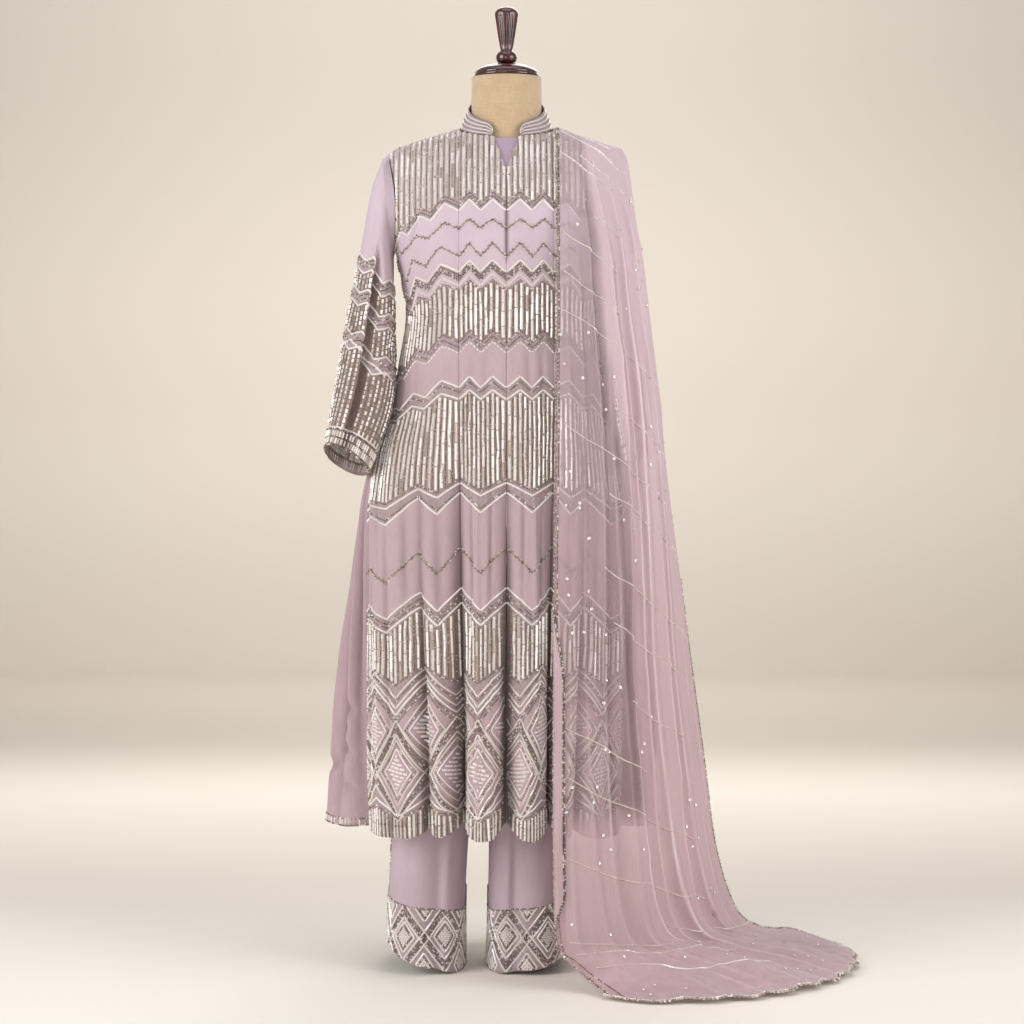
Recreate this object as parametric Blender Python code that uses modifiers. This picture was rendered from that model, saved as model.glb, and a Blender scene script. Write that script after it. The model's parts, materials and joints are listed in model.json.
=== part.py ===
"""Salwar kameez suit on a limbless dress form.

A long flared kameez cut in gores, straight trousers and a sheer dupatta that hangs over
one shoulder and ends in a train on the floor. Metres, +Z up, the front faces -Y. Sides
are the wearer's: right is at -X, left at +X. Everything is laid out round the form's
upright axis (X = Y = 0), and one empty then carries it all, so that the bottom centre of
the whole model's box comes to the origin.

A wall of cloth is a grid of points on its outer face and the same grid moved in along the
surface's own normals, so two panels that meet at a seam keep parallel edges.
"""

from collections import namedtuple
import math

import bmesh
import bpy
from mathutils import Vector
from mathutils.bvhtree import BVHTree

# Driving dimensions
WALL = 0.0016               # kameez and trouser cloth
SHEER_WALL = 0.0011         # dupatta
SEAM_GAP = 0.0003           # between pieces that touch
REST_GAP = 0.0004           # between the cloth and what it rests on
HEM_Z = 0.258               # kameez hem at the sides
GORE_TOP_Z = 1.03           # where the plain side gores start
GORE_SPREAD = 39.0          # degrees from the side to a gore's edge at the hem
UNDERARM_Z = 1.225
SHOULDER_Z = 1.397
ARMHOLE_SPREAD = 22.0       # degrees from the side to the armhole's edge, half way up
PRINCESS_X = 0.0795         # gore seams of the front and back, from the centre
OPENING_X = 0.0235          # half the neck opening at the collar
OPENING_LOW_Z = 1.358       # where the opening becomes a closed slit
FOLD_TOP_Z = 0.98           # the skirt's folds start here
FOLD_DEPTH = 0.075          # at the hem, in a full seam valley
CROTCH_Z = 0.70
LEG_SPLIT_Z = 0.81          # above this the two legs share one ring
HEM_RISE = 0.047            # the trouser hem's outer side above the floor
RISE_HEIGHT = 0.16          # above this a leg no longer follows its hem
FLOOR_Z = 0.0
NORMAL_STEP = 0.002         # share of a grid's side over which a normal is measured

# Rings of the kameez from the hem to the neck. right and left are its half widths, front
# and back its half depths, square the power of its rounded outline, and tilt lowers the
# front and raises the back.
Level = namedtuple("Level", "z right left front back square tilt")
KAMEEZ_LEVELS = (
    Level(HEM_Z, 0.313, 0.262, 0.194, 0.205, 2.2, 0.016),
    Level(0.360, 0.301, 0.253, 0.186, 0.196, 2.2, 0.009),
    Level(0.500, 0.284, 0.241, 0.175, 0.184, 2.2, 0.004),
    Level(0.650, 0.267, 0.229, 0.164, 0.172, 2.2, 0.001),
    Level(0.790, 0.251, 0.213, 0.153, 0.158, 2.2, 0.0),
    Level(0.890, 0.226, 0.192, 0.144, 0.146, 2.2, 0.0),
    Level(0.960, 0.198, 0.178, 0.136, 0.134, 2.2, 0.0),
    Level(GORE_TOP_Z, 0.184, 0.172, 0.130, 0.124, 2.2, 0.0),
    Level(1.115, 0.171, 0.166, 0.124, 0.112, 2.2, 0.0),
    Level(1.170, 0.179, 0.172, 0.127, 0.109, 2.2, 0.0),
    Level(UNDERARM_Z, 0.190, 0.181, 0.131, 0.109, 2.2, 0.0),
    Level(1.285, 0.199, 0.190, 0.128, 0.111, 2.2, 0.0),
    Level(1.340, 0.203, 0.197, 0.113, 0.107, 2.1, 0.001),
    Level(1.375, 0.203, 0.197, 0.094, 0.096, 1.9, 0.003),
    Level(SHOULDER_Z, 0.196, 0.190, 0.080, 0.084, 1.8, 0.006),
    Level(1.412, 0.160, 0.156, 0.075, 0.077, 1.8, 0.010),
    Level(1.425, 0.115, 0.115, 0.072, 0.073, 1.9, 0.014),
    Level(1.435, 0.080, 0.080, 0.070, 0.070, 2.0, 0.018),
)
GORE_TOP_ROW = 7
GORE_CLOSE = 0.15           # of a row: above the gore's tip the seams are one
GORE_TIP_SPREAD = 0.8
UNDERARM_ROW = 10
SHOULDER_ROW = 14
NECK_ROW = len(KAMEEZ_LEVELS) - 1

# The form's own rings, clear of the cloth except on the shoulders.
FORM_LEVELS = (
    Level(0.815, 0.140, 0.140, 0.092, 0.098, 2.2, 0.0),
    Level(0.822, 0.147, 0.147, 0.098, 0.104, 2.2, 0.0),
    Level(0.870, 0.154, 0.154, 0.104, 0.112, 2.2, 0.0),
    Level(0.940, 0.152, 0.152, 0.102, 0.108, 2.2, 0.0),
    Level(1.000, 0.142, 0.142, 0.098, 0.098, 2.2, 0.0),
    Level(1.060, 0.133, 0.133, 0.095, 0.088, 2.2, 0.0),
    Level(1.115, 0.129, 0.129, 0.095, 0.084, 2.2, 0.0),
    Level(1.170, 0.137, 0.135, 0.103, 0.086, 2.2, 0.0),
    Level(1.225, 0.152, 0.150, 0.119, 0.092, 2.2, 0.0),
    Level(1.285, 0.170, 0.168, 0.114, 0.097, 2.2, 0.0),
    Level(1.338, 0.187, 0.185, 0.102, 0.097, 2.1, 0.001),
    Level(1.373, 0.191, 0.186, 0.085, 0.088, 1.9, 0.003),
    Level(1.3948, 0.188, 0.183, 0.072, 0.078, 1.8, 0.006),
    Level(1.4111, 0.156, 0.152, 0.068, 0.073, 1.8, 0.010),
    Level(1.4195, 0.106, 0.106, 0.063, 0.066, 1.9, 0.014),
    Level(1.4280, 0.070, 0.070, 0.060, 0.061, 2.0, 0.018),
    Level(1.4500, 0.0605, 0.0605, 0.059, 0.059, 2.0, 0.010),
    Level(1.4850, 0.0595, 0.0595, 0.058, 0.058, 2.0, 0.0),
    Level(1.5230, 0.0590, 0.0590, 0.057, 0.057, 2.0, 0.0),
)

# A gore's valleys: at is the place across it from its first to its second edge, share is
# the part of FOLD_DEPTH, width is in shares of the gore's own width.
Crease = namedtuple("Crease", "at share width")
CENTRE_CREASES = (Crease(0.0, 0.90, 0.24), Crease(1.0, 1.0, 0.24))
SIDE_CREASES = (Crease(0.0, 1.0, 0.13), Crease(0.30, 0.45, 0.09), Crease(1.0, 0.40, 0.16))
GORE_CREASES = (Crease(0.0, 0.40, 0.20), Crease(0.5, 0.06, 0.16), Crease(1.0, 0.40, 0.20))

CENTRE_COLUMNS = (0.0, 0.09, 0.20, 0.34, 0.5, 0.66, 0.80, 0.91, 1.0)
SIDE_COLUMNS = (0.0, 0.07, 0.15, 0.22, 0.30, 0.39, 0.50, 0.62, 0.75, 0.88, 1.0)
GORE_COLUMNS = (0.0, 0.16, 0.33, 0.5, 0.67, 0.84, 1.0)

# Rings of a sleeve below the armhole: the outer and the inner point seen from the front,
# half its depth, how far it hangs forward, and how much its front edge rises.
Ring = namedtuple("Ring", "outer_x outer_z inner_x inner_z half_depth forward front_up")
RIGHT_SLEEVE = (
    Ring(0.212, 1.383, 0.1935, 1.214, 0.052, 0.000, 0.000),
    Ring(0.226, 1.345, 0.1925, 1.183, 0.056, 0.003, 0.000),
    Ring(0.236, 1.294, 0.1900, 1.148, 0.058, 0.008, 0.000),
    Ring(0.245, 1.242, 0.1880, 1.112, 0.058, 0.014, 0.000),
    Ring(0.256, 1.187, 0.1880, 1.075, 0.058, 0.021, 0.000),
    Ring(0.267, 1.130, 0.1885, 1.040, 0.058, 0.030, 0.000),
    Ring(0.278, 1.070, 0.1895, 1.000, 0.058, 0.044, 0.002),
    Ring(0.290, 1.003, 0.1965, 0.956, 0.058, 0.060, 0.006),
    Ring(0.300, 0.945, 0.2110, 0.909, 0.058, 0.072, 0.013),
    Ring(0.309, 0.888, 0.2350, 0.852, 0.056, 0.078, 0.020),
)
LEFT_SLEEVE = (
    Ring(0.2005, 1.379, 0.1860, 1.214, 0.052, 0.000, 0.000),
    Ring(0.2055, 1.345, 0.1840, 1.183, 0.058, 0.003, 0.000),
    Ring(0.2080, 1.294, 0.1810, 1.148, 0.062, 0.008, 0.000),
    Ring(0.2110, 1.242, 0.1780, 1.112, 0.064, 0.014, 0.000),
    Ring(0.2155, 1.187, 0.1775, 1.075, 0.064, 0.021, 0.000),
    Ring(0.2215, 1.130, 0.1780, 1.040, 0.064, 0.030, 0.000),
    Ring(0.2300, 1.070, 0.1790, 1.000, 0.064, 0.044, 0.000),
    Ring(0.2390, 1.003, 0.1840, 0.962, 0.064, 0.060, 0.000),
    Ring(0.2470, 0.945, 0.1930, 0.912, 0.064, 0.072, 0.004),
    Ring(0.2530, 0.892, 0.2040, 0.864, 0.062, 0.080, 0.008),
)
SLEEVE_FOLD = 0.013         # depth of the long fold down a sleeve's front
ARMHOLE_GAP = 0.0017        # from the armhole's edge to the sleeve's outer face
SLEEVE_SIDES = 18

# A trouser leg's rings: the centre's X for each leg, half width, half depths.
Leg = namedtuple("Leg", "z right_x left_x half_width front back")
LEG_LEVELS = (
    Leg(0.000, -0.1390, 0.0335, 0.0680, 0.117, 0.116),
    Leg(0.060, -0.1380, 0.0340, 0.0665, 0.110, 0.114),
    Leg(0.160, -0.1350, 0.0345, 0.0655, 0.101, 0.112),
    Leg(0.300, -0.1270, 0.0400, 0.0670, 0.094, 0.110),
    Leg(0.450, -0.1130, 0.0520, 0.0700, 0.096, 0.112),
    Leg(0.590, -0.0960, 0.0670, 0.0750, 0.100, 0.116),
    Leg(CROTCH_Z, -0.0835, 0.0835, 0.0830, 0.104, 0.120),
    Leg(LEG_SPLIT_Z, -0.0835, 0.0835, 0.0830, 0.108, 0.122),
)
HIP_LEVELS = (
    Level(CROTCH_Z, 0.166, 0.166, 0.106, 0.118, 2.2, 0.0),
    Level(LEG_SPLIT_Z, 0.168, 0.166, 0.110, 0.120, 2.2, 0.0),
    Level(0.880, 0.166, 0.164, 0.112, 0.120, 2.2, 0.0),
    Level(0.960, 0.158, 0.156, 0.108, 0.110, 2.2, 0.0),
    Level(1.020, 0.146, 0.145, 0.104, 0.099, 2.2, 0.0),
)
LEG_ROWS = (0.0, 0.03, 0.10, 0.20, 0.32, 0.45, 0.58, 0.70, 0.735, 0.775, 0.81, 0.88, 0.96, 1.02)
LEG_SIDES = 20
LEG_SQUARE = 2.6            # power of a leg's rounded outline below the hem of the kameez
LEG_CREASE = 0.010          # depth of the crease down a leg's front
LEG_CREASE_TURN = 78.0      # its place round the leg, in degrees from the inner side
WAISTBAND_HEIGHT = 0.032

# The dupatta, station by station, from its hem behind over the shoulder to the train:
# the inner and the outer edge, the bow of the cloth between them, the height of its
# ridges, and the height of its waves on the floor.
Station = namedtuple(
    "Station", "inner_x inner_y inner_z outer_x outer_y outer_z bow ridge wave"
)
DUPATTA = (
    Station(0.074, 0.196, 0.780, 0.236, 0.100, 0.780, 0.036, 0.012, 0.0),
    Station(0.076, 0.178, 0.900, 0.232, 0.090, 0.890, 0.036, 0.010, 0.0),
    Station(0.079, 0.150, 1.060, 0.228, 0.076, 1.040, 0.034, 0.007, 0.0),
    Station(0.082, 0.128, 1.220, 0.222, 0.062, 1.190, 0.030, 0.004, 0.0),
    Station(0.085, 0.105, 1.350, 0.216, 0.046, 1.305, 0.020, 0.001, 0.0),
    Station(0.086, 0.060, 1.418, 0.2090, 0.026, 1.362, 0.006, 0.0, 0.0),
    Station(0.087, 0.000, 1.436, 0.2035, 0.000, 1.387, 0.002, 0.0, 0.0),
    Station(0.086, -0.060, 1.412, 0.2090, -0.026, 1.362, 0.006, 0.0, 0.0),
    Station(0.085, -0.102, 1.352, 0.2130, -0.034, 1.318, 0.016, 0.001, 0.0),
    Station(0.084, -0.133, 1.250, 0.2190, -0.040, 1.230, 0.032, 0.004, 0.0),
    Station(0.083, -0.142, 1.130, 0.2300, -0.046, 1.120, 0.040, 0.007, 0.0),
    Station(0.082, -0.152, 1.000, 0.2480, -0.052, 0.990, 0.056, 0.008, 0.0),
    Station(0.080, -0.166, 0.860, 0.2690, -0.060, 0.850, 0.066, 0.009, 0.0),
    Station(0.078, -0.188, 0.700, 0.2910, -0.062, 0.700, 0.056, 0.011, 0.0),
    Station(0.077, -0.208, 0.520, 0.3140, -0.054, 0.530, 0.040, 0.012, 0.0),
    Station(0.076, -0.226, 0.340, 0.3380, -0.040, 0.360, 0.040, 0.013, 0.0),
    Station(0.077, -0.240, 0.180, 0.3610, -0.015, 0.200, 0.042, 0.013, 0.0),
    Station(0.082, -0.248, 0.078, 0.4020, 0.050, 0.082, 0.052, 0.010, 0.002),
    Station(0.100, -0.245, 0.052, 0.4520, 0.150, 0.024, 0.100, 0.0, 0.009),
    Station(0.130, -0.245, 0.022, 0.5100, 0.190, 0.012, 0.155, 0.0, 0.009),
    Station(0.165, -0.305, 0.004, 0.5640, 0.150, 0.005, 0.208, 0.0, 0.003),
)
BACK_END = 4.5              # stations where one stretch of the dupatta ends
FRONT_START = 8.0
FLOOR_START = 17.0
RIDGE_PLACES = (0.38, 0.64, 0.80)
RIDGE_WIDTH = 0.055
TRAIN_WAVES = 3.5
DUPATTA_COLUMNS = (0.0, 0.09, 0.20, 0.30, 0.38, 0.46, 0.55, 0.64, 0.72, 0.80, 0.90, 1.0)
CLEAR_OF_SUIT = 0.0050      # the dupatta over what it covers
CLEAR_ON_SHOULDER = 0.0022

FORM_SIDES = 28
CAP_RADIUS = 0.0550
CAP_Z = 1.5233
CAP_HEIGHT = 0.0235
BALL_RADIUS = 0.0180
HANDLE_FOOT_RADIUS = 0.0105
HANDLE_TOP_RADIUS = 0.0205
FINIAL_TOP_Z = 1.643

POST_RADIUS = 0.008
POST_X = {"right": -0.112, "left": 0.046}
POST_Y = 0.020
FOOT_X = {"right": -0.130, "left": 0.037}
FOOT_Y = 0.030
FOOT_HALF = (0.042, 0.052)
FOOT_HEIGHT = 0.008

COLOURS = {                 # name: (colour, roughness, metallic)
    "georgette": ((0.60, 0.50, 0.58), 0.75, 0.0),
    "beaded_georgette": ((0.58, 0.50, 0.52), 0.50, 0.15),
    "slip": ((0.56, 0.44, 0.60), 0.60, 0.0),
    "trouser_cloth": ((0.45, 0.33, 0.40), 0.70, 0.0),
    "dupatta_net": ((0.56, 0.40, 0.44), 0.80, 0.0),
    "linen": ((0.80, 0.66, 0.44), 0.85, 0.0),
    "dark_wood": ((0.06, 0.010, 0.008), 0.25, 0.0),
    "steel": ((0.55, 0.55, 0.56), 0.35, 1.0),
}


def clear_scene():
    for obj in list(bpy.data.objects):
        bpy.data.objects.remove(obj, do_unlink=True)


def make_material(name):
    colour, roughness, metallic = COLOURS[name]
    found = bpy.data.materials.get(name)
    if found:
        return found
    material = bpy.data.materials.new(name)
    material.use_nodes = True
    shader = material.node_tree.nodes["Principled BSDF"]
    shader.inputs["Base Color"].default_value = (*colour, 1.0)
    shader.inputs["Roughness"].default_value = roughness
    shader.inputs["Metallic"].default_value = metallic
    return material


def add_object(name, mesh, material, collection, root):
    obj = bpy.data.objects.new(name, mesh)
    mesh.materials.append(make_material(material))
    collection.objects.link(obj)
    obj.parent = root
    return obj


def smoothstep(low, high, value):
    share = min(1.0, max(0.0, (value - low) / (high - low)))
    return share * share * (3.0 - 2.0 * share)


def lerp(a, b, share):
    return a + (b - a) * share


def along(table, place):
    """The row of a table at a place between its rows, on a smooth curve through them."""
    last = len(table) - 1
    place = min(max(place, 0.0), float(last))
    k = min(int(place), last - 1)
    s = place - k
    p0, p1, p2, p3 = (table[min(max(i, 0), last)] for i in (k - 1, k, k + 1, k + 2))
    row = [
        0.5 * (2 * b + (c - a) * s + (2 * a - 5 * b + 4 * c - d) * s * s
               + (3 * b - a - 3 * c + d) * s ** 3)
        for a, b, c, d in zip(p0, p1, p2, p3)
    ]
    return type(table[0])(*row)


def at_height(table, z):
    """The row of a table of rings, whose heights rise, at height z."""
    k = 0
    while k < len(table) - 2 and table[k + 1].z < z:
        k += 1
    share = (z - table[k].z) / (table[k + 1].z - table[k].z)
    return along(table, k + min(1.0, max(0.0, share)))


def ring_point(level, girth):
    """A point of a ring: girth is in degrees from the centre front, + to the left side."""
    s, c = math.sin(math.radians(girth)), math.cos(math.radians(girth))
    power = 2.0 / level.square
    half = level.left if s > 0 else level.right
    depth = level.front if c > 0 else level.back
    x = math.copysign(abs(s) ** power, s) * half
    y = -math.copysign(abs(c) ** power, c) * depth
    return Vector((x, y, level.z - level.tilt * c))


def girth_at(level, x):
    """The girth, on the front, of the ring's point at a distance x from the centre."""
    half = level.left if x > 0 else level.right
    share = min(1.0, abs(x) / half)
    return math.copysign(math.degrees(math.asin(share ** (level.square / 2.0))), x)


def grid_faces(columns, rows, closed):
    """Quads of a grid whose points run across, row after row."""
    wide = columns if closed else columns - 1
    return [
        (j * columns + i, j * columns + (i + 1) % columns,
         (j + 1) * columns + (i + 1) % columns, (j + 1) * columns + i)
        for j in range(rows - 1)
        for i in range(wide)
    ]


def split_quads(quads, points):
    """Each quad as two triangles on its shorter diagonal. The two faces of a wall share
    the split, so a twisted quad can't bring them through each other.
    """
    faces = []
    for a, b, c, d in quads:
        if (points[a] - points[c]).length <= (points[b] - points[d]).length:
            faces += [(a, b, c), (a, c, d)]
        else:
            faces += [(a, b, d), (b, c, d)]
    return faces


def wall(name, surface, across, up, thickness, closed=False, floor=None):
    """A closed mesh of cloth: surface(u, v) gives its outer face, whose normal is the
    cross product of its u and v directions, and the inner face is moved in from it.
    """
    outer, inner = [], []
    span_u, span_v = across[-1] - across[0], up[-1] - up[0]
    for v in up:
        for u in across:
            point = surface(u, v)
            step_u, step_v = NORMAL_STEP * span_u, NORMAL_STEP * span_v
            u0, u1 = (u - step_u, u + step_u) if closed else (
                max(u - step_u, across[0]), min(u + step_u, across[-1]))
            v0 = max(v - step_v, up[0])
            v1 = min(v + step_v, up[-1])
            normal = (surface(u1, v) - surface(u0, v)).cross(
                surface(u, v1) - surface(u, v0)).normalized()
            back = point - normal * thickness
            if floor is not None:
                point.z = max(point.z, floor + thickness)
                back.z = max(back.z, floor)
            outer.append(point)
            inner.append(back)
    columns, rows = len(across), len(up)
    count = columns * rows
    front = split_quads(grid_faces(columns, rows, closed), outer)
    faces = front + [tuple(count + i for i in reversed(f)) for f in front]
    rims = [[j * columns + i for i in range(columns)] for j in (0, rows - 1)]
    for rim, turned in zip(rims, (False, True)):
        pairs = list(zip(rim, rim[1:] + rim[:1])) if closed else list(zip(rim, rim[1:]))
        for a, b in pairs:
            quad = (b, a, count + a, count + b)
            faces.append(tuple(reversed(quad)) if turned else quad)
    if not closed:
        for i, turned in ((0, True), (columns - 1, False)):
            for j in range(rows - 1):
                a, b = j * columns + i, (j + 1) * columns + i
                quad = (b, a, count + a, count + b)
                faces.append(tuple(reversed(quad)) if turned else quad)
    mesh = bpy.data.meshes.new(name)
    mesh.from_pydata(outer + inner, [], faces)
    mesh.shade_smooth()
    mesh.set_sharp_from_angle(angle=math.radians(50))
    return mesh


def spaced(first, last, count):
    return tuple(lerp(first, last, i / count) for i in range(count + 1))


# Kameez


def row_places(last):
    """Row places from the hem: every ring, and a few between where the shape is full."""
    between = (0.5, 4.5, 5.5, GORE_TOP_ROW + GORE_CLOSE)
    places = [float(k) for k in range(last + 1)] + [p for p in between if p < last]
    return tuple(sorted(places))


def princess_girth(level, side, back=False):
    """The seam between a centre and a side gore."""
    girth = girth_at(level, side * PRINCESS_X)
    return side * 180.0 - girth if back else girth


def side_spread(z):
    """Degrees from the side to the edge of a side piece: a gore's or the armhole's."""
    if z <= GORE_TOP_Z:
        share = ((GORE_TOP_Z - z) / (GORE_TOP_Z - HEM_Z)) ** 0.8
        return lerp(GORE_TIP_SPREAD, GORE_SPREAD, share)
    closed_z = along(KAMEEZ_LEVELS, GORE_TOP_ROW + GORE_CLOSE).z
    if z < closed_z:
        return GORE_TIP_SPREAD * (closed_z - z) / (closed_z - GORE_TOP_Z)
    if UNDERARM_Z < z < SHOULDER_Z:
        share = (z - UNDERARM_Z) / (SHOULDER_Z - UNDERARM_Z)
        return ARMHOLE_SPREAD * math.sin(math.pi * share) ** 0.55
    return 0.0


def opening_girth(level, side):
    """The centre front edge: the neck opening, then the slit."""
    share = (level.z - OPENING_LOW_Z) / (KAMEEZ_LEVELS[-1].z - OPENING_LOW_Z)
    return girth_at(level, side * OPENING_X * max(0.0, share))


def gore_edges(kind, side, level):
    """Girths of a gore's two edges at a ring."""
    spread = side_spread(level.z)
    if kind == "front_centre":
        return opening_girth(level, side), princess_girth(level, side)
    if kind == "front_side":
        return princess_girth(level, side), side * (90.0 - spread)
    if kind == "side_gore":
        return side * (90.0 - spread), side * (90.0 + spread)
    if kind == "back_side":
        return princess_girth(level, side, back=True), side * (90.0 + spread)
    return side * 180.0, princess_girth(level, side, back=True)


def fold_depth(z):
    return FOLD_DEPTH * max(0.0, (FOLD_TOP_Z - z) / (FOLD_TOP_Z - HEM_Z)) ** 1.25


def inward(level, girth):
    """The level direction that points into a ring."""
    step = 0.5
    edge = ring_point(level, girth + step) - ring_point(level, girth - step)
    return Vector((-edge.y, edge.x, 0.0)).normalized()


def seam_inset(kind, side, place, which):
    """Degrees that keep a gore's first or second edge half a seam gap from its seam."""
    turn, rise = 0.5, 0.05

    def seam_point(at):
        level = along(KAMEEZ_LEVELS, at)
        return ring_point(level, gore_edges(kind, side, level)[which])

    level = along(KAMEEZ_LEVELS, place)
    girth = gore_edges(kind, side, level)[which]
    across = ring_point(level, girth + turn) - ring_point(level, girth - turn)
    seam = seam_point(place + rise) - seam_point(place - rise)
    return 0.6 * SEAM_GAP / (across.cross(seam.normalized()).length / (2.0 * turn))


def kameez_surface(kind, side, creases):
    """A gore's outer face as a function of its place across and its ring."""

    def point(u, place):
        level = along(KAMEEZ_LEVELS, place)
        first, second = gore_edges(kind, side, level)
        turn = math.copysign(1.0, second - first)
        first += turn * seam_inset(kind, side, place, 0)
        second -= turn * seam_inset(kind, side, place, 1)
        girth = lerp(first, second, u)
        valley = sum(
            c.share * math.exp(-(((u - c.at) / c.width) ** 2)) for c in creases
        )
        base = ring_point(level, girth)
        return base + inward(level, girth) * (fold_depth(level.z) * valley)

    return point


def flipped(surface, across, up):
    """The surface and its columns, turned over where its normal would point inwards."""
    u, v = across[len(across) // 2], up[len(up) // 2]
    step = 0.01
    normal = (surface(u + step, v) - surface(u, v)).cross(
        surface(u, v + step) - surface(u, v))
    centre = Vector((0.0, 0.0, surface(u, v).z))
    if normal.dot(surface(u, v) - centre) > 0.0:
        return surface, across
    ends = across[0] + across[-1]
    turned = tuple(ends - u for u in reversed(across))
    return (lambda u, v: surface(ends - u, v)), turned


def make_kameez(collection, root):
    kinds = (
        ("front_centre", CENTRE_CREASES, CENTRE_COLUMNS, NECK_ROW, "beaded_georgette"),
        ("front_side", SIDE_CREASES, SIDE_COLUMNS, NECK_ROW, "beaded_georgette"),
        ("side_gore", GORE_CREASES, GORE_COLUMNS, GORE_TOP_ROW, "georgette"),
        ("back_side", SIDE_CREASES, SIDE_COLUMNS, NECK_ROW, "beaded_georgette"),
        ("back_centre", CENTRE_CREASES, CENTRE_COLUMNS, NECK_ROW, "beaded_georgette"),
    )
    made = []
    for kind, creases, columns, last, material in kinds:
        for side, word in ((-1, "right"), (1, "left")):
            up = row_places(last)
            surface, across = flipped(kameez_surface(kind, side, creases), columns, up)
            mesh = wall(f"kameez_{kind}_{word}", surface, across, up, WALL)
            made.append(
                add_object(f"kameez_{kind}_{word}", mesh, material, collection, root))
    return made


def make_collar(collection, root):
    """A band that stands on the neckline and leans in, with rounded front ends."""
    lean = 0.0125
    height = 0.034
    end_girth = 18.5
    end_round = 14.0
    neck = KAMEEZ_LEVELS[-1]
    base = Level(neck.z + 0.0007, 0.0772, 0.0772, 0.0705, 0.0705, 2.0, 0.018)
    top = Level(base.z + height, base.right - lean, base.left - lean,
                base.front - 0.006, base.back - 0.006, 2.0, 0.031)

    def point(girth, v):
        from_end = min(girth - end_girth, 360.0 - end_girth - girth)
        share = min(1.0, from_end / end_round)
        full = math.sqrt(max(0.0, 1.0 - (1.0 - share) ** 2))
        v = v * lerp(0.30, 1.0, full)
        return ring_point(base, girth).lerp(ring_point(top, girth), v)

    ends = (0.0, 2.5, 6.0, 10.0, end_round)
    rest = spaced(end_girth + end_round, 360.0 - end_girth - end_round, 18)[1:-1]
    across = tuple(end_girth + e for e in ends) + rest + tuple(
        360.0 - end_girth - e for e in reversed(ends))
    surface, across = flipped(point, across, (0.0, 0.5, 1.0))
    mesh = wall("kameez_collar", surface, across, (0.0, 0.5, 1.0), WALL)
    return add_object("kameez_collar", mesh, "beaded_georgette", collection, root)


def make_slip(collection, root):
    """The part of the lilac slip behind the neck opening, under the kameez."""
    half_girth = 28.0
    under = WALL + 3.5 * REST_GAP

    def point(girth, place):
        level = along(KAMEEZ_LEVELS, place)
        base = ring_point(level, girth)
        step = 0.02
        side = ring_point(level, girth + 1.0) - ring_point(level, girth - 1.0)
        rise = ring_point(along(KAMEEZ_LEVELS, place + step), girth) - ring_point(
            along(KAMEEZ_LEVELS, place - step), girth)
        return base - side.cross(rise).normalized() * under

    across = spaced(-half_girth, half_girth, 8)
    up = (12.0, 13.0, 14.0, 15.0, 16.0, 16.55)
    mesh = wall("neck_slip", point, across, up, WALL)
    return add_object("neck_slip", mesh, "slip", collection, root)


def armhole_point(side, turn):
    """The armhole's edge: turn runs in degrees from the shoulder point by the front."""
    share = 0.5 + 0.5 * math.cos(math.radians(turn))
    z = lerp(UNDERARM_Z, SHOULDER_Z, share)
    rows = KAMEEZ_LEVELS[UNDERARM_ROW:SHOULDER_ROW + 1]
    level = at_height(rows, z)
    toward_front = math.sin(math.radians(turn)) > 0.0
    spread = side_spread(z)
    girth = side * (90.0 - spread if toward_front else 90.0 + spread)
    return ring_point(level, girth)


def make_sleeve(side, word, rings, collection, root):
    """A tube from the armhole to the cuff, with one long fold down its front."""

    def ring_at(place, turn):
        ring = along(rings, place)
        outer = Vector((side * ring.outer_x, -ring.forward, ring.outer_z))
        inner = Vector((side * ring.inner_x, -ring.forward, ring.inner_z))
        c, s = math.cos(math.radians(turn)), math.sin(math.radians(turn))
        lower = smoothstep(1.0, 4.0, place)
        fold = SLEEVE_FOLD * lower * math.exp(-(((turn - 95.0) / 17.0) ** 2))
        fold += 0.6 * SLEEVE_FOLD * lower * math.exp(-(((turn - 265.0) / 22.0) ** 2))
        depth = (ring.half_depth - fold) * math.copysign(abs(s) ** 0.85, s)
        across = 0.5 * c
        centre = (outer + inner) / 2.0
        return centre + (outer - inner) * across + Vector(
            (0.0, -depth, ring.front_up * s))

    def point(turn, place):
        turn = turn % 360.0
        if place >= 0.0:
            return ring_at(place, turn)
        edge = armhole_point(side, turn)
        edge.x += side * ARMHOLE_GAP
        return edge.lerp(ring_at(0.0, turn), 1.0 + place)

    across = tuple(i * 360.0 / SLEEVE_SIDES for i in range(SLEEVE_SIDES))
    if side < 0:
        across = tuple(reversed(across))
    up = (-1.0, -0.5) + tuple(float(i) for i in range(len(rings)))
    name = f"kameez_sleeve_{word}"
    mesh = wall(name, point, across, up, WALL, closed=True)
    if mesh_volume(mesh) < 0.0:
        mesh.flip_normals()
    return add_object(name, mesh, "georgette", collection, root)


def mesh_volume(mesh):
    bm = bmesh.new()
    bm.from_mesh(mesh)
    volume = bm.calc_volume(signed=True)
    bm.free()
    return volume


# Trousers


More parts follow.
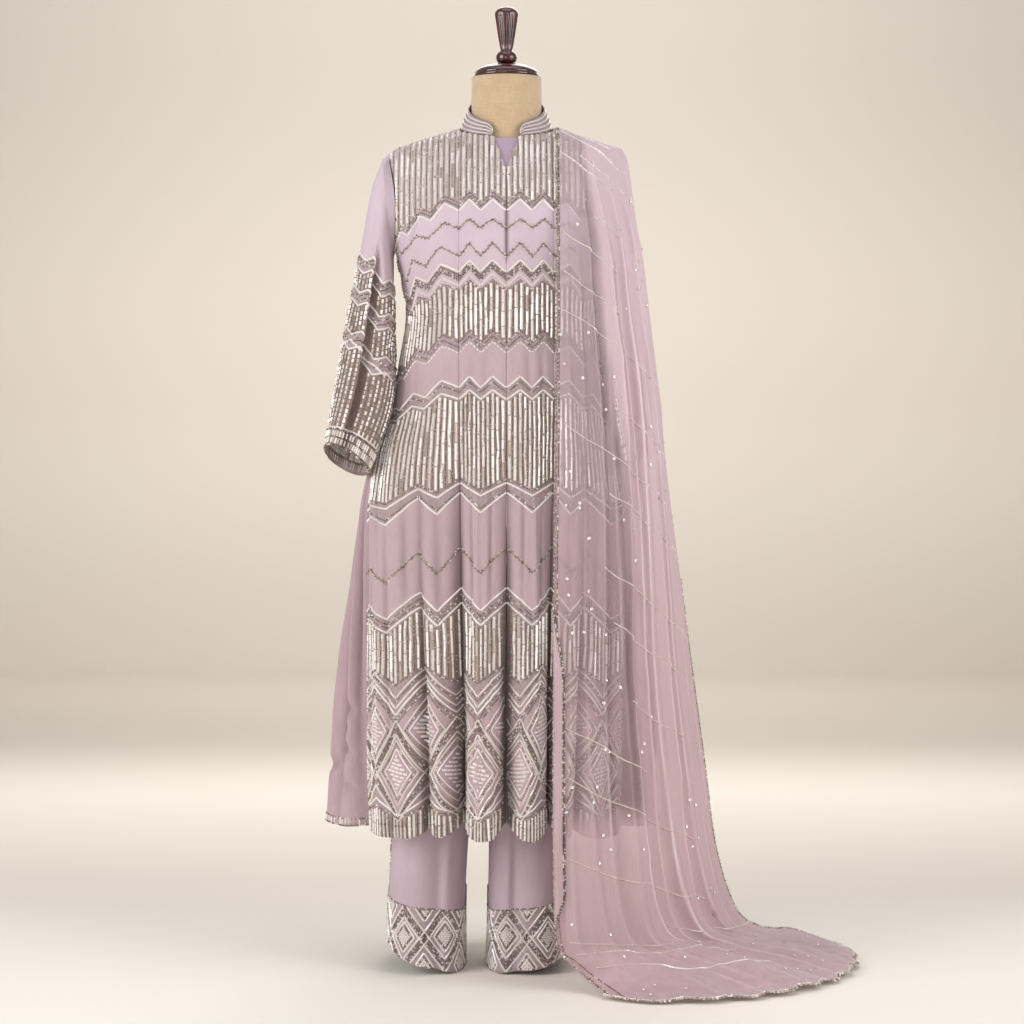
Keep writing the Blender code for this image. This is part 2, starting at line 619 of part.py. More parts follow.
def make_leg(side, word, collection, root):
    """A leg is one sheet: a tube up to the crotch, then half of the hips."""
    gap_turn = 0.35

    def point(turn, z):
        leg = at_height(LEG_LEVELS, min(z, LEG_SPLIT_Z))
        centre_x = leg.right_x if side < 0 else leg.left_x
        s, c = math.sin(math.radians(turn)), math.cos(math.radians(turn))
        depth = leg.front if s > 0.0 else leg.back
        crease = LEG_CREASE * smoothstep(0.6, 0.2, z) * math.exp(
            -(((turn - LEG_CREASE_TURN) / 10.0) ** 2))
        power = 2.0 / lerp(LEG_SQUARE, 2.0, smoothstep(0.2, 0.5, z))
        tube = Vector((centre_x - side * leg.half_width * math.copysign(abs(c) ** power, c),
                       (crease - depth) * math.copysign(abs(s) ** power, s), z))
        rise = HEM_RISE * (0.5 - 0.5 * c) ** 1.7 * (1.0 if side < 0 else 0.55)
        tube.z += rise * max(0.0, 1.0 - z / RISE_HEIGHT)
        if z <= CROTCH_Z:
            return tube
        hip = at_height(HIP_LEVELS, z)
        half = ring_point(hip, side * turn / 2.0)
        half.x += side * 0.5 * SEAM_GAP * (1.0 + math.cos(math.radians(turn))) / 2.0
        return tube.lerp(half, smoothstep(CROTCH_Z, LEG_SPLIT_Z, z))

    ends = spaced(gap_turn, 360.0 - gap_turn, LEG_SIDES)
    surface, across = point, ends
    if side < 0:
        surface, across = (lambda u, v: point(360.0 - u, v)), ends
    name = f"trouser_leg_{word}"
    mesh = wall(name, surface, across, LEG_ROWS, WALL)
    if mesh_volume(mesh) < 0.0:
        mesh.flip_normals()
    return add_object(name, mesh, "trouser_cloth", collection, root)


def make_waistband(collection, root):
    """A band above the legs, lying on the form."""
    low = HIP_LEVELS[-1].z + 2.0 * SEAM_GAP
    form = at_height(FORM_LEVELS, low + WAISTBAND_HEIGHT)
    out = WALL + 2.0 * REST_GAP
    leg_top = HIP_LEVELS[-1]

    def point(girth, v):
        top = Level(low + WAISTBAND_HEIGHT, form.right + out, form.left + out,
                    form.front + out, form.back + out, form.square, 0.0)
        base = leg_top._replace(z=low)
        return ring_point(base, girth).lerp(ring_point(top, girth), v)

    across = tuple(i * 360.0 / FORM_SIDES for i in range(FORM_SIDES))
    mesh = wall("trouser_waistband", point, across, (0.0, 0.5, 1.0), WALL, closed=True)
    return add_object("trouser_waistband", mesh, "trouser_cloth", collection, root)


# Dupatta


def tree_of(objects):
    points, faces = [], []
    for obj in objects:
        start = len(points)
        points += [v.co.copy() for v in obj.data.vertices]
        faces += [tuple(start + i for i in p.vertices) for p in obj.data.polygons]
    return BVHTree.FromPolygons(points, faces)


def dupatta_surface(suit):
    """The scarf's outer face as a function of its place across and its station."""

    def guide(u, place):
        row = along(DUPATTA, place)
        inner = Vector((row.inner_x, row.inner_y, row.inner_z))
        outer = Vector((row.outer_x, row.outer_y, row.outer_z))
        chord = (outer - inner)
        behind = place < 6.0
        out = Vector((abs(chord.y), -abs(chord.x) * (-1.0 if behind else 1.0), 0.0))
        if out.length < 1e-6:
            out = Vector((0.0, 0.0, 1.0))
        out.normalize()
        if 5.0 < place < 7.0:
            out = out.lerp(Vector((0.0, 0.0, 1.0)), 1.0 - abs(place - 6.0)).normalized()
        hump = (4.0 * u * (1.0 - u)) ** lerp(0.75, 0.6, smoothstep(17.0, 20.0, place))
        ridges = sum(math.exp(-(((u - at) / RIDGE_WIDTH) ** 2)) for at in RIDGE_PLACES)
        point = inner.lerp(outer, u) + out * (row.bow * hump + row.ridge * ridges)
        swell = 0.5 - 0.5 * math.cos(2.0 * math.pi * TRAIN_WAVES * u)
        point.z += row.wave * swell
        return point

    def point(u, place):
        found = guide(u, place)
        if place > 16.5:
            return found
        centre = Vector((0.105, 0.0, min(found.z, 1.30)))
        way = found - centre
        start = centre + way.normalized() * 0.6
        hit = suit.ray_cast(start, -way.normalized(), 0.6)[0]
        on_top = smoothstep(4.6, 5.6, place) * (1.0 - smoothstep(6.4, 7.6, place))
        by_sleeve = CLEAR_ON_SHOULDER * 2.4 * smoothstep(0.6, 0.95, u)
        clear = lerp(CLEAR_OF_SUIT, CLEAR_ON_SHOULDER + by_sleeve, on_top) + SHEER_WALL
        if hit is not None:
            reach = max(way.length, (hit - centre).length + clear)
            found = centre + way.normalized() * reach
        return found

    return point


def make_dupatta(suit, collection, root):
    surface = dupatta_surface(tree_of(suit))
    gap = 0.0012            # of a station, so that two stretches stay SEAM_GAP apart
    stretches = (
        ("dupatta_back_fall", spaced(0.0, BACK_END - gap, 6)),
        ("dupatta_shoulder", spaced(BACK_END + 0.01, FRONT_START - 0.004, 9)),
        ("dupatta_front_fall", spaced(FRONT_START, FLOOR_START - 0.003, 13)),
        ("dupatta_train", spaced(FLOOR_START, len(DUPATTA) - 1.0, 7)),
    )
    made = []
    for name, up in stretches:
        mesh = wall(name, surface, DUPATTA_COLUMNS, up, SHEER_WALL, floor=FLOOR_Z)
        if mesh_volume(mesh) < 0.0:
            mesh.flip_normals()
        made.append(add_object(name, mesh, "dupatta_net", collection, root))
    return made


# Dress form


def make_form(collection, root):
    """The padded body with its neck: rings joined into one closed skin."""
    bm = bmesh.new()
    loops = []
    for level in FORM_LEVELS:
        loops.append([
            bm.verts.new(ring_point(level, i * 360.0 / FORM_SIDES)) for i in range(FORM_SIDES)
        ])
    for low, high in zip(loops, loops[1:]):
        for i in range(FORM_SIDES):
            bm.faces.new((low[i], low[(i + 1) % FORM_SIDES], high[(i + 1) % FORM_SIDES], high[i]))
    bm.faces.new(list(reversed(loops[0])))
    bm.faces.new(loops[-1])
    mesh = bpy.data.meshes.new("form_body")
    bm.to_mesh(mesh)
    bm.free()
    mesh.shade_smooth()
    mesh.set_sharp_from_angle(angle=math.radians(45))
    return add_object("form_body", mesh, "linen", collection, root)


def turned(name, profile, steps, material, collection, root):
    """A solid turned round the form's axis from a profile that runs top to bottom."""
    mesh = bpy.data.meshes.new(name)
    edges = [(i, i + 1) for i in range(len(profile) - 1)]
    mesh.from_pydata([(r, 0.0, z) for r, z in profile], edges, [])
    obj = add_object(name, mesh, material, collection, root)
    screw = obj.modifiers.new("turn", "SCREW")
    screw.steps = steps
    screw.render_steps = steps
    screw.use_merge_vertices = True
    screw.merge_threshold = 0.00001
    screw.use_smooth_shade = True
    return obj


def make_finial(collection, root):
    rim = 0.006
    dome = [(0.0, CAP_Z + CAP_HEIGHT)]
    for i in range(1, 7):
        turn = math.radians(90.0 * (1.0 - i / 6.0))
        dome.append((CAP_RADIUS * math.cos(turn),
                     CAP_Z + rim + (CAP_HEIGHT - rim) * math.sin(turn)))
    dome += [(CAP_RADIUS, CAP_Z + 0.002), (CAP_RADIUS - 0.003, CAP_Z), (0.0, CAP_Z)]
    turned("form_cap", dome, 28, "dark_wood", collection, root)

    foot = CAP_Z + CAP_HEIGHT + SEAM_GAP
    middle = foot + BALL_RADIUS * 0.55
    neck = foot + BALL_RADIUS * 1.15
    profile = [(0.0, FINIAL_TOP_Z), (HANDLE_TOP_RADIUS * 0.55, FINIAL_TOP_Z - 0.001),
               (HANDLE_TOP_RADIUS * 0.92, FINIAL_TOP_Z - 0.006),
               (HANDLE_TOP_RADIUS, FINIAL_TOP_Z - 0.013),
               (HANDLE_FOOT_RADIUS * 1.3, lerp(neck, FINIAL_TOP_Z, 0.35)),
               (HANDLE_FOOT_RADIUS, neck + 0.004), (HANDLE_FOOT_RADIUS, neck),
               (BALL_RADIUS * 0.85, middle + BALL_RADIUS * 0.42),
               (BALL_RADIUS, middle), (BALL_RADIUS * 0.80, foot + 0.002),
               (BALL_RADIUS * 0.62, foot), (0.0, foot)]
    turned("form_finial", profile, 20, "dark_wood", collection, root)


def make_stand(collection, root):
    """A post in each trouser leg, from a flat foot to the form's underside."""
    top = FORM_LEVELS[0].z - REST_GAP
    for word in ("right", "left"):
        bm = bmesh.new()
        bmesh.ops.create_cone(bm, cap_ends=True, segments=28, radius1=1.0, radius2=0.94,
                              depth=FOOT_HEIGHT)
        for vert in bm.verts:
            vert.co.x *= FOOT_HALF[0]
            vert.co.y *= FOOT_HALF[1]
        mesh = bpy.data.meshes.new(f"stand_foot_{word}")
        bm.to_mesh(mesh)
        bm.free()
        foot = add_object(f"stand_foot_{word}", mesh, "steel", collection, root)
        foot.location = (FOOT_X[word], FOOT_Y, FOOT_HEIGHT / 2.0)

        low = FOOT_HEIGHT + SEAM_GAP
        bm = bmesh.new()
        bmesh.ops.create_cone(bm, cap_ends=True, segments=16, radius1=POST_RADIUS,
                              radius2=POST_RADIUS, depth=top - low)
        mesh = bpy.data.meshes.new(f"stand_post_{word}")
        bm.to_mesh(mesh)
        bm.free()
        post = add_object(f"stand_post_{word}", mesh, "steel", collection, root)
        post.location = (POST_X[word], POST_Y, (top + low) / 2.0)


def seat_on_origin(collection, root):
    """Moves the whole model so that its box's bottom centre is the origin."""
    bpy.context.view_layer.update()
    graph = bpy.context.evaluated_depsgraph_get()
    corners = []
    for obj in collection.objects:
        if obj.type != "MESH":
            continue
        evaluated = obj.evaluated_get(graph)
        mesh = evaluated.to_mesh()
        corners += [obj.matrix_world @ v.co for v in mesh.vertices]
        evaluated.to_mesh_clear()
    low = Vector(min(c[i] for c in corners) for i in range(3))
    high = Vector(max(c[i] for c in corners) for i in range(3))
    root.location = (-(low.x + high.x) / 2.0, -(low.y + high.y) / 2.0, -low.z)


def main():
    clear_scene()
    collection = bpy.data.collections.new("salwar_kameez_on_form")
    bpy.context.scene.collection.children.link(collection)
    root = bpy.data.objects.new("form_axis", None)
    collection.objects.link(root)
    make_form(collection, root)
    make_finial(collection, root)
    make_stand(collection, root)
    gores = make_kameez(collection, root)
    make_collar(collection, root)
    make_slip(collection, root)
    make_sleeve(-1, "right", RIGHT_SLEEVE, collection, root)
    sleeve = make_sleeve(1, "left", LEFT_SLEEVE, collection, root)
    for side, word in ((-1, "right"), (1, "left")):
        make_leg(side, word, collection, root)
    make_waistband(collection, root)
    make_dupatta(gores + [sleeve], collection, root)
    seat_on_origin(collection, root)


main()
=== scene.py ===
"""Looks of a salwar kameez suit on its dress form.

Each sub-assembly is a class that holds its sizes, builds its cloth, beads and hardware in
metres round the form's upright axis, and dresses them in procedural finishes. Sides are the
wearer's: right is at -X, left at +X, and the front faces -Y. A sheet of cloth is a grid of
points whose rows run up the piece and whose columns run across it, and its beadwork is laid
on that grid by row and column, so it follows every fold.
"""

import sys

import json
import logging
import math
from dataclasses import dataclass, field
from enum import Enum
from typing import Any, Optional, Sequence, Union

import bpy
import numpy as np
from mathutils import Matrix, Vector
from mathutils.bvhtree import BVHTree

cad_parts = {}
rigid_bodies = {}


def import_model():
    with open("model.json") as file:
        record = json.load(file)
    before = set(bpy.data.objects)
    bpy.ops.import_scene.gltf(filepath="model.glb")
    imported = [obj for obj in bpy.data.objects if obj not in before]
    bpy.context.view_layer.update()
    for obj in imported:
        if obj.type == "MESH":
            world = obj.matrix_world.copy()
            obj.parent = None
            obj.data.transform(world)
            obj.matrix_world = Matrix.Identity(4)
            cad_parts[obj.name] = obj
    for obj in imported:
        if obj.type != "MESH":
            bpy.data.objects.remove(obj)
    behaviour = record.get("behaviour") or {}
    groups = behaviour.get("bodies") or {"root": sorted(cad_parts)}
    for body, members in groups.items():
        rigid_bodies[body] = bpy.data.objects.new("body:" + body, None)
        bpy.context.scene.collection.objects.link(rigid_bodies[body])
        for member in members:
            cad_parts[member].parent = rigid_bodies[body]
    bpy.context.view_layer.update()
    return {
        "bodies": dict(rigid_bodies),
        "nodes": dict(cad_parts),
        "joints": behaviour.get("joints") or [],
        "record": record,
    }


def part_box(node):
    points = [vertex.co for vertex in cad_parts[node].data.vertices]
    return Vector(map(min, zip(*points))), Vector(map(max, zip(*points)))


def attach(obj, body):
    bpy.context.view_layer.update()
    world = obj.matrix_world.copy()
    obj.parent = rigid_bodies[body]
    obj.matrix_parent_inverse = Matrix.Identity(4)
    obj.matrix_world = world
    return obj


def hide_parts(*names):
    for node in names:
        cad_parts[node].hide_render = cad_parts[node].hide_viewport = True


LOG = logging.getLogger("suit")
Array = np.ndarray
Colour = tuple[float, float, float]
Number = Union[float, Array]
HEM_THICK = 0.0009  # how far a hem's inner side lies behind the cloth, in metres
SENSOR_MM = 36.0
CREPE_ROUGH = 0.78
LAMP_COLOUR = (1.0, 0.99, 0.985)


# Shapes: curves through tables, and small masks


def linear(red: float, green: float, blue: float) -> Colour:
    """Turns a display colour into linear light.

    Args:
        red, green, blue: Channels on the 0-255 display scale.

    Returns:
        The same colour as linear channels from 0 to 1.
    """
    shares = (channel / 255.0 for channel in (red, green, blue))
    return tuple(s / 12.92 if s <= 0.04045 else ((s + 0.055) / 1.055) ** 2.4 for s in shares)


def smooth(low: float, high: float, value: Number) -> Number:
    """Rises from 0 at low to 1 at high, with level ends."""
    share = np.clip((value - low) / (high - low), 0.0, 1.0)
    return share * share * (3.0 - 2.0 * share)


def bump(value: Number, centre: float, width: float) -> Number:
    """A soft bell of height 1 round a centre."""
    return np.exp(-(((value - centre) / width) ** 2))


def tri(value: Number) -> Number:
    """A zigzag of period 1: -1 at whole numbers, +1 half way between them."""
    return 1.0 - 4.0 * np.abs(np.mod(value, 1.0) - 0.5)


def signed_power(value: Number, power: Number) -> Number:
    """A power that keeps its sign."""
    return np.sign(value) * np.abs(value) ** power


def spline(table: Array, places: Number) -> Array:
    """Rows of a table at places between its rows, on a smooth curve through them.

    Args:
        table: One row for each station.
        places: Places along the table, in rows.

    Returns:
        An array of the places' shape with one more axis, the table's columns.
    """
    last = len(table) - 1
    places = np.clip(np.asarray(places, float), 0.0, last)
    k = np.minimum(places.astype(int), last - 1)
    s = (places - k)[..., None]
    a, b, c, d = (table[np.clip(k + step, 0, last)] for step in (-1, 0, 1, 2))
    return 0.5 * (2 * b + (c - a) * s + (2 * a - 5 * b + 4 * c - d) * s**2
                  + (3 * b - a - 3 * c + d) * s**3)


def at_height(table: Array, z: Number) -> Array:
    """Rows of a table of rings, whose first column rises, at heights z."""
    place = np.interp(z, table[:, 0], np.arange(len(table)))
    return spline(table, place)


def even_places(table: Array, first: float, last: float, step: float, across: int) -> Array:
    """Places that keep an even distance along a table's profile.

    Args:
        table: Rings with their height in the first column.
        first, last: The range of places.
        step: The distance between neighbours, in metres.
        across: The column that the profile's second coordinate is in.

    Returns:
        The places, first and last among them.
    """
    dense = np.linspace(first, last, 1500)
    rows = spline(table, dense)
    run = np.hypot(np.diff(rows[:, 0]), np.diff(rows[:, across]))
    run = np.concatenate([[0.0], np.cumsum(run)])
    return np.interp(np.linspace(0.0, run[-1], max(2, round(run[-1] / step) + 1)), run, dense)


def ring(level: Array, girth: Number) -> Array:
    """Points of rings.

    Args:
        level: Rings as z, right, left, front, back, square, tilt in the last axis.
        girth: Degrees from the centre front, + to the wearer's left.

    Returns:
        Points round the form's axis.
    """
    z, right, left, front, back, square, tilt = np.moveaxis(level, -1, 0)
    s, c = np.sin(np.radians(girth)), np.cos(np.radians(girth))
    x = signed_power(s, 2.0 / square) * np.where(s > 0.0, left, right)
    y = -signed_power(c, 2.0 / square) * np.where(c > 0.0, front, back)
    return np.stack([x, y, z - tilt * c], axis=-1)


def girth_at(level: Array, x: Number) -> Number:
    """The girth, on the front, of the rings' points at a distance x from the centre."""
    half = np.where(np.asarray(x) > 0.0, level[..., 2], level[..., 1])
    share = np.minimum(1.0, np.abs(x) / half)
    return np.sign(x) * np.degrees(np.arcsin(share ** (level[..., 5] / 2.0)))


def unit(vectors: Array) -> Array:
    """Vectors brought to length 1."""
    return vectors / np.maximum(np.linalg.norm(vectors, axis=-1, keepdims=True), 1e-12)


def run_along(points: Array) -> Array:
    """The distance along a line from its first point to each of its points."""
    return np.concatenate([[0.0], np.cumsum(np.linalg.norm(np.diff(points, axis=0), axis=1))])


def rows_where(height: Array, column: Array, level: Array,
               missing: Optional[float] = None) -> Array:
    """The rows at which a rising height reaches levels, at places between columns.

    Args:
        height: The height at each row and column.
        column: The places, in columns.
        level: The height looked for at each place.
        missing: What stands for a height that isn't reached; the nearest end row if None.

    Returns:
        The rows.
    """
    row = np.empty(len(column))
    numbers = np.arange(len(height))
    for i, (c, z) in enumerate(zip(column, level)):
        k = min(int(c), height.shape[1] - 2)
        own = height[:, k] * (k + 1 - c) + height[:, k + 1] * (c - k)
        row[i] = np.interp(z, own, numbers, left=missing, right=missing)
    return row


# Node graphs


class Strand:
    """A shader socket that takes part in Python arithmetic."""

    def __init__(self, loom: "Loom", socket: bpy.types.NodeSocket) -> None:
        """Keeps the graph and the output socket."""
        self.loom = loom
        self.socket = socket

    def math(self, operation: str, *others: Any) -> "Strand":
        """Adds a Math node with this value first."""
        return self.loom.calc(operation, self, *others)

    def __add__(self, other: Any) -> "Strand":
        """self + other."""
        return self.math("ADD", other)

    __radd__ = __add__

    def __sub__(self, other: Any) -> "Strand":
        """self - other."""
        return self.math("SUBTRACT", other)

    def __rsub__(self, other: Any) -> "Strand":
        """other - self."""
        return self.loom.calc("SUBTRACT", other, self)

    def __mul__(self, other: Any) -> "Strand":
        """self * other."""
        return self.math("MULTIPLY", other)

    __rmul__ = __mul__

    def __truediv__(self, other: Any) -> "Strand":
        """self / other."""
        return self.math("DIVIDE", other)

    def __pow__(self, other: Any) -> "Strand":
        """self ** other."""
        return self.math("POWER", other)

    def ramp(self, low: float, high: float, to_low: float = 0.0, to_high: float = 1.0) -> "Strand":
        """Maps low..high smoothly to to_low..to_high."""
        return self.loom.node(
            "ShaderNodeMapRange", {"interpolation_type": "SMOOTHSTEP"},
            {"Value": self, "From Min": low, "From Max": high, "To Min": to_low, "To Max": to_high})


class Loom:
    """Weaves one material's node graph."""

    def __init__(self, name: str) -> None:
        """Starts an empty graph with its output node."""
        self.material = bpy.data.materials.new(name)
        self.material.use_nodes = True
        self.tree = self.material.node_tree
        self.tree.nodes.clear()
        self.output = self.tree.nodes.new("ShaderNodeOutputMaterial")

    def feed(self, socket: bpy.types.NodeSocket, value: Any) -> None:
        """Links a strand to a socket, or sets a plain value on it."""
        if isinstance(value, Strand):
            self.tree.links.new(value.socket, socket)
        elif socket.type == "RGBA" and len(value) == 3:
            socket.default_value = (*value, 1.0)
        else:
            socket.default_value = value

    def node(self, kind: str, settings: Optional[dict] = None,
             sockets: Optional[dict] = None, out: Union[int, str] = 0) -> Strand:
        """Adds any node.

        Args:
            kind: The node's type name.
            settings: Attributes set first; "stops" are a colour ramp's (place, colour) pairs.
            sockets: Values or strands for the inputs, by name or number.
            out: The output that is handed on.

        Returns:
            The output as a strand.
        """
        made = self.tree.nodes.new(kind)
        for key, value in (settings or {}).items():
            if key == "stops":
                ramp = made.color_ramp.elements
                for _ in range(len(value) - 2):
                    ramp.new(0.5)
                for stop, (place, colour) in zip(ramp, value):
                    stop.position = place
                    stop.color = (*colour, 1.0)
            else:
                setattr(made, key, value)
        for key, value in (sockets or {}).items():
            self.feed(made.inputs[key], value)
        return Strand(self, made.outputs[out])

    def calc(self, operation: str, *values: Any) -> Strand:
        """Adds a Math node."""
        return self.node("ShaderNodeMath", {"operation": operation}, dict(enumerate(values)))

    def mix(self, share: Any, first: Any, second: Any) -> Strand:
        """Mixes two colours: share 0 gives the first, 1 the second."""
        return self.node("ShaderNodeMix", {"data_type": "RGBA"},
                         {0: share, 6: first, 7: second}, out=2)

    def place(self) -> Strand:
        """The point on the object, in metres."""
        return self.node("ShaderNodeTexCoord", out="Object")

    def axis(self, vector: Strand, name: str) -> Strand:
        """One coordinate of a vector: "X", "Y" or "Z"."""
        return self.node("ShaderNodeSeparateXYZ", None, {0: vector}, out=name)

    def scaled(self, vector: Strand, factors: Sequence[float]) -> Strand:
        """A vector multiplied axis by axis."""
        return self.node("ShaderNodeVectorMath", {"operation": "MULTIPLY"},
                         {0: vector, 1: tuple(factors)})

    def noise(self, vector: Strand, scale: float, detail: float = 2.0,
              roughness: float = 0.5) -> Strand:
        """Fractal noise about 0.5."""
        return self.node("ShaderNodeTexNoise", None,
                         {"Vector": vector, "Scale": scale, "Detail": detail,
                          "Roughness": roughness})

    def attribute(self, name: str) -> Strand:
        """A number kept on the mesh's points."""
        return self.node("ShaderNodeAttribute", {"attribute_name": name}, out="Fac")

    def relief(self, height: Strand, distance: float, strength: float) -> Strand:
        """A bumped normal from a height of 0 to 1 that stands for a distance in metres."""
        return self.node("ShaderNodeBump", None,
                         {"Height": height, "Distance": distance, "Strength": strength})

    def dress(self, **sockets: Any) -> bpy.types.Material:
        """Ends the graph in a Principled shader.

        Args:
            **sockets: Its inputs, with _ for each space of a name.

        Returns:
            The finished material.
        """
        named = {key.replace("_", " "): value for key, value in sockets.items()}
        shader = self.node("ShaderNodeBsdfPrincipled", None, named)
        self.tree.links.new(shader.socket, self.output.inputs["Surface"])
        return self.material


# Meshes


def mesh_of(name: str, points: Array, faces: Array, level: bool = False) -> bpy.types.Mesh:
    """Builds a mesh quickly from arrays.

    Args:
        name: The mesh's name.
        points: Vertices, n by 3.
        faces: Triangles or quads, m by 3 or 4.
        level: Whether the faces are shaded flat.

    Returns:
        The mesh.
    """
    mesh = bpy.data.meshes.new(name)
    faces = np.ascontiguousarray(faces, dtype=np.int32)
    sides = faces.shape[1]
    mesh.vertices.add(len(points))
    mesh.vertices.foreach_set("co", np.ascontiguousarray(points, np.float32).ravel())
    mesh.loops.add(faces.size)
    mesh.loops.foreach_set("vertex_index", faces.ravel())
    mesh.polygons.add(len(faces))
    mesh.polygons.foreach_set("loop_start", np.arange(0, faces.size, sides, dtype=np.int32))
    mesh.polygons.foreach_set("use_smooth", np.full(len(faces), not level))
    mesh.update(calc_edges=True)
    mesh.validate()
    return mesh


def mark(mesh: bpy.types.Mesh, name: str, values: Array) -> None:
    """Keeps one number for each point of a mesh."""
    layer = mesh.attributes.new(name, "FLOAT", "POINT")
    layer.data.foreach_set("value", np.ascontiguousarray(values, np.float32).ravel())


@dataclass
class Weave:
    """A sheet of cloth as a grid: rows run up the piece, columns across it."""

    points: Array
    closed: bool = False
    heart: Optional[tuple[float, float]] = (0.0, 0.0)
    marks: dict[str, Array] = field(default_factory=dict)

    def __post_init__(self) -> None:
        """Finds the normals and the side that faces out."""
        p = self.points
        if self.closed:
            across = np.roll(p, -1, axis=1) - np.roll(p, 1, axis=1)
        else:
            across = np.gradient(p, axis=1)
        normals = unit(np.cross(across, np.gradient(p, axis=0)))
        if self.heart is None:
            away = np.broadcast_to(np.array([0.0, 0.0, 1.0]), p.shape)
        elif self.closed:
            away = p - p.mean(axis=1, keepdims=True)
        else:
            away = p - np.array([self.heart[0], self.heart[1], 0.0])
            away = away * np.array([1.0, 1.0, 0.0])
        self.out = 1.0 if float((normals * away).sum()) > 0.0 else -1.0
        self.normals = normals * self.out
        self.packed = np.concatenate([p, self.normals], axis=2)

    def moved(self, depth: Array) -> "Weave":
        """The sheet pushed out along its normals."""
        return Weave(self.points + self.normals * depth[..., None], self.closed, self.heart,
                     self.marks)

    def widened(self, more: float) -> "Weave":
        """The sheet with both its side edges moved out, in its own plane."""
        points = self.points.copy()
        for edge, inner in ((0, 1), (-1, -2)):
            points[:, edge] += more * unit(self.points[:, edge] - self.points[:, inner])
        return Weave(points, self.closed, self.heart, self.marks)

    def at(self, row: Number, column: Number) -> tuple[Array, Array]:
        """Points and normals between the grid's own.

        Args:
            row, column: Places in rows and columns; either may be a single number.

        Returns:
            The points and the normals.
        """
        rows, columns = self.points.shape[:2]
        row = np.clip(row, 0.0, rows - 1.0)
        r = np.minimum(row.astype(int), rows - 2)
        if self.closed:
            column = np.mod(column, columns)
            c = column.astype(int) % columns
            d = (c + 1) % columns
        else:
            column = np.clip(column, 0.0, columns - 1.0)
            c = np.minimum(column.astype(int), columns - 2)
            d = c + 1
        s, t = (row - r)[..., None], (column - np.floor(column))[..., None]
        if not self.closed:
            t = (column - c)[..., None]
        low = self.packed[r, c] * (1.0 - t) + self.packed[r, d] * t
        high = self.packed[r + 1, c] * (1.0 - t) + self.packed[r + 1, d] * t
        both = low * (1.0 - s) + high * s
        return both[..., :3], unit(both[..., 3:])

    def along(self, row: Array, column: Array, run: Array, marks: Array) -> tuple[Array, Array]:
        """Points and normals at distances along a line.

        Args:
            row, column: The places that the line runs through.
            run: The distance from the line's start to each of them.
            marks: The distances asked for.

        Returns:
            The points and the normals.
        """
        return self.at(np.interp(marks, run, row), np.interp(marks, run, column))

    def turned(self, first: float = 0.0, last: float = 0.0, low: float = 0.0,
               high: float = 0.0) -> "Weave":
        """The sheet with its edges turned in.

        Args:
            first, last: How far the seam edges are turned in, in metres.
            low, high: How wide the hems at the bottom and the top are.

        Returns:
            A grid with the turned strips added.
        """
        points, normals, marks = self.points, self.normals, dict(self.marks)
        if low:
            points, normals, marks = self._hem(points, normals, marks, low, 1)
        if high:
            points, normals, marks = self._hem(points, normals, marks, high, -1)
        for width, end in ((first, 0), (last, -1)):
            if not width:
                continue
            strip = (points[:, end] - normals[:, end] * width)[:, None]
            wide = {k: np.concatenate([v[:, :1], v] if end == 0 else [v, v[:, -1:]], axis=1)
                    for k, v in marks.items()}
            marks = wide
            order = (lambda a, b: [a, b]) if end == 0 else (lambda a, b: [b, a])
            points = np.concatenate(order(strip, points), axis=1)
            normals = np.concatenate(order(normals[:, end][:, None], normals), axis=1)
        return Weave(points, self.closed, self.heart, marks)

    @staticmethod
    def _hem(points: Array, normals: Array, marks: dict, width: float,
             way: int) -> tuple[Array, Array, dict]:
        """Adds a hem's fold and its inner side at one end of the rows."""
        order = slice(None, None, way)
        p, n = points[order], normals[order]
        run = np.linalg.norm(p[1] - p[0], axis=-1, keepdims=True)
        up = p[0] + (p[1] - p[0]) * np.minimum(width / run, 1.0)
        k = max(1, int(round(width / max(float(run.mean()), 1e-6))))
        if k < len(p):
            up = p[k]
        edge = p[0] - n[0] * HEM_THICK
        inner = up - n[min(k, len(n) - 1)] * HEM_THICK
        p = np.concatenate([inner[None], edge[None], p])
        n = np.concatenate([n[:1], n[:1], n])
        grown = {key: np.concatenate([v[order][:1], v[order][:1], v[order]])[order]
                 for key, v in marks.items()}
        return p[order], n[order], grown

    def mesh(self, name: str) -> bpy.types.Mesh:
        """The grid as quads that face out, with its marks."""
        rows, columns = self.points.shape[:2]
        index = np.arange(rows * columns).reshape(rows, columns)
        right = np.roll(index, -1, axis=1) if self.closed else index[:, 1:]
        left = index if self.closed else index[:, :-1]
        faces = np.stack([left[:-1], right[:-1], right[1:], left[1:]], axis=-1).reshape(-1, 4)
        if self.out < 0.0:
            faces = faces[:, ::-1]
        mesh = mesh_of(name, self.points.reshape(-1, 3), faces)
        for key, values in self.marks.items():
            mark(mesh, key, values)
        return mesh

    def cut(self) -> tuple[float, float, float]:
        """Width, length and area of the cut."""
        across = np.linalg.norm(np.diff(self.points, axis=1), axis=2)
        if self.closed:
            seam = np.linalg.norm(self.points[:, 0] - self.points[:, -1], axis=1)
            width = float((across.sum(axis=1) + seam).max())
        else:
            width = float(across.sum(axis=1).max())
        length = float(np.linalg.norm(np.diff(self.points, axis=0), axis=2).sum(axis=0).max())
        p = self.points if not self.closed else np.concatenate(
            [self.points, self.points[:, :1]], axis=1)
        area = 0.5 * float(np.linalg.norm(
            np.cross(p[1:, 1:] - p[:-1, :-1], p[1:, :-1] - p[:-1, 1:]), axis=2).sum())
        return width, length, min(area, width * length)


class Thread(Enum):
    """What a line of beadwork is sewn from."""

    WHITE = "white"
    LILAC = "lilac"
    BRONZE = "bronze"
    CHAIN = "chain"
    DASH = "dash"


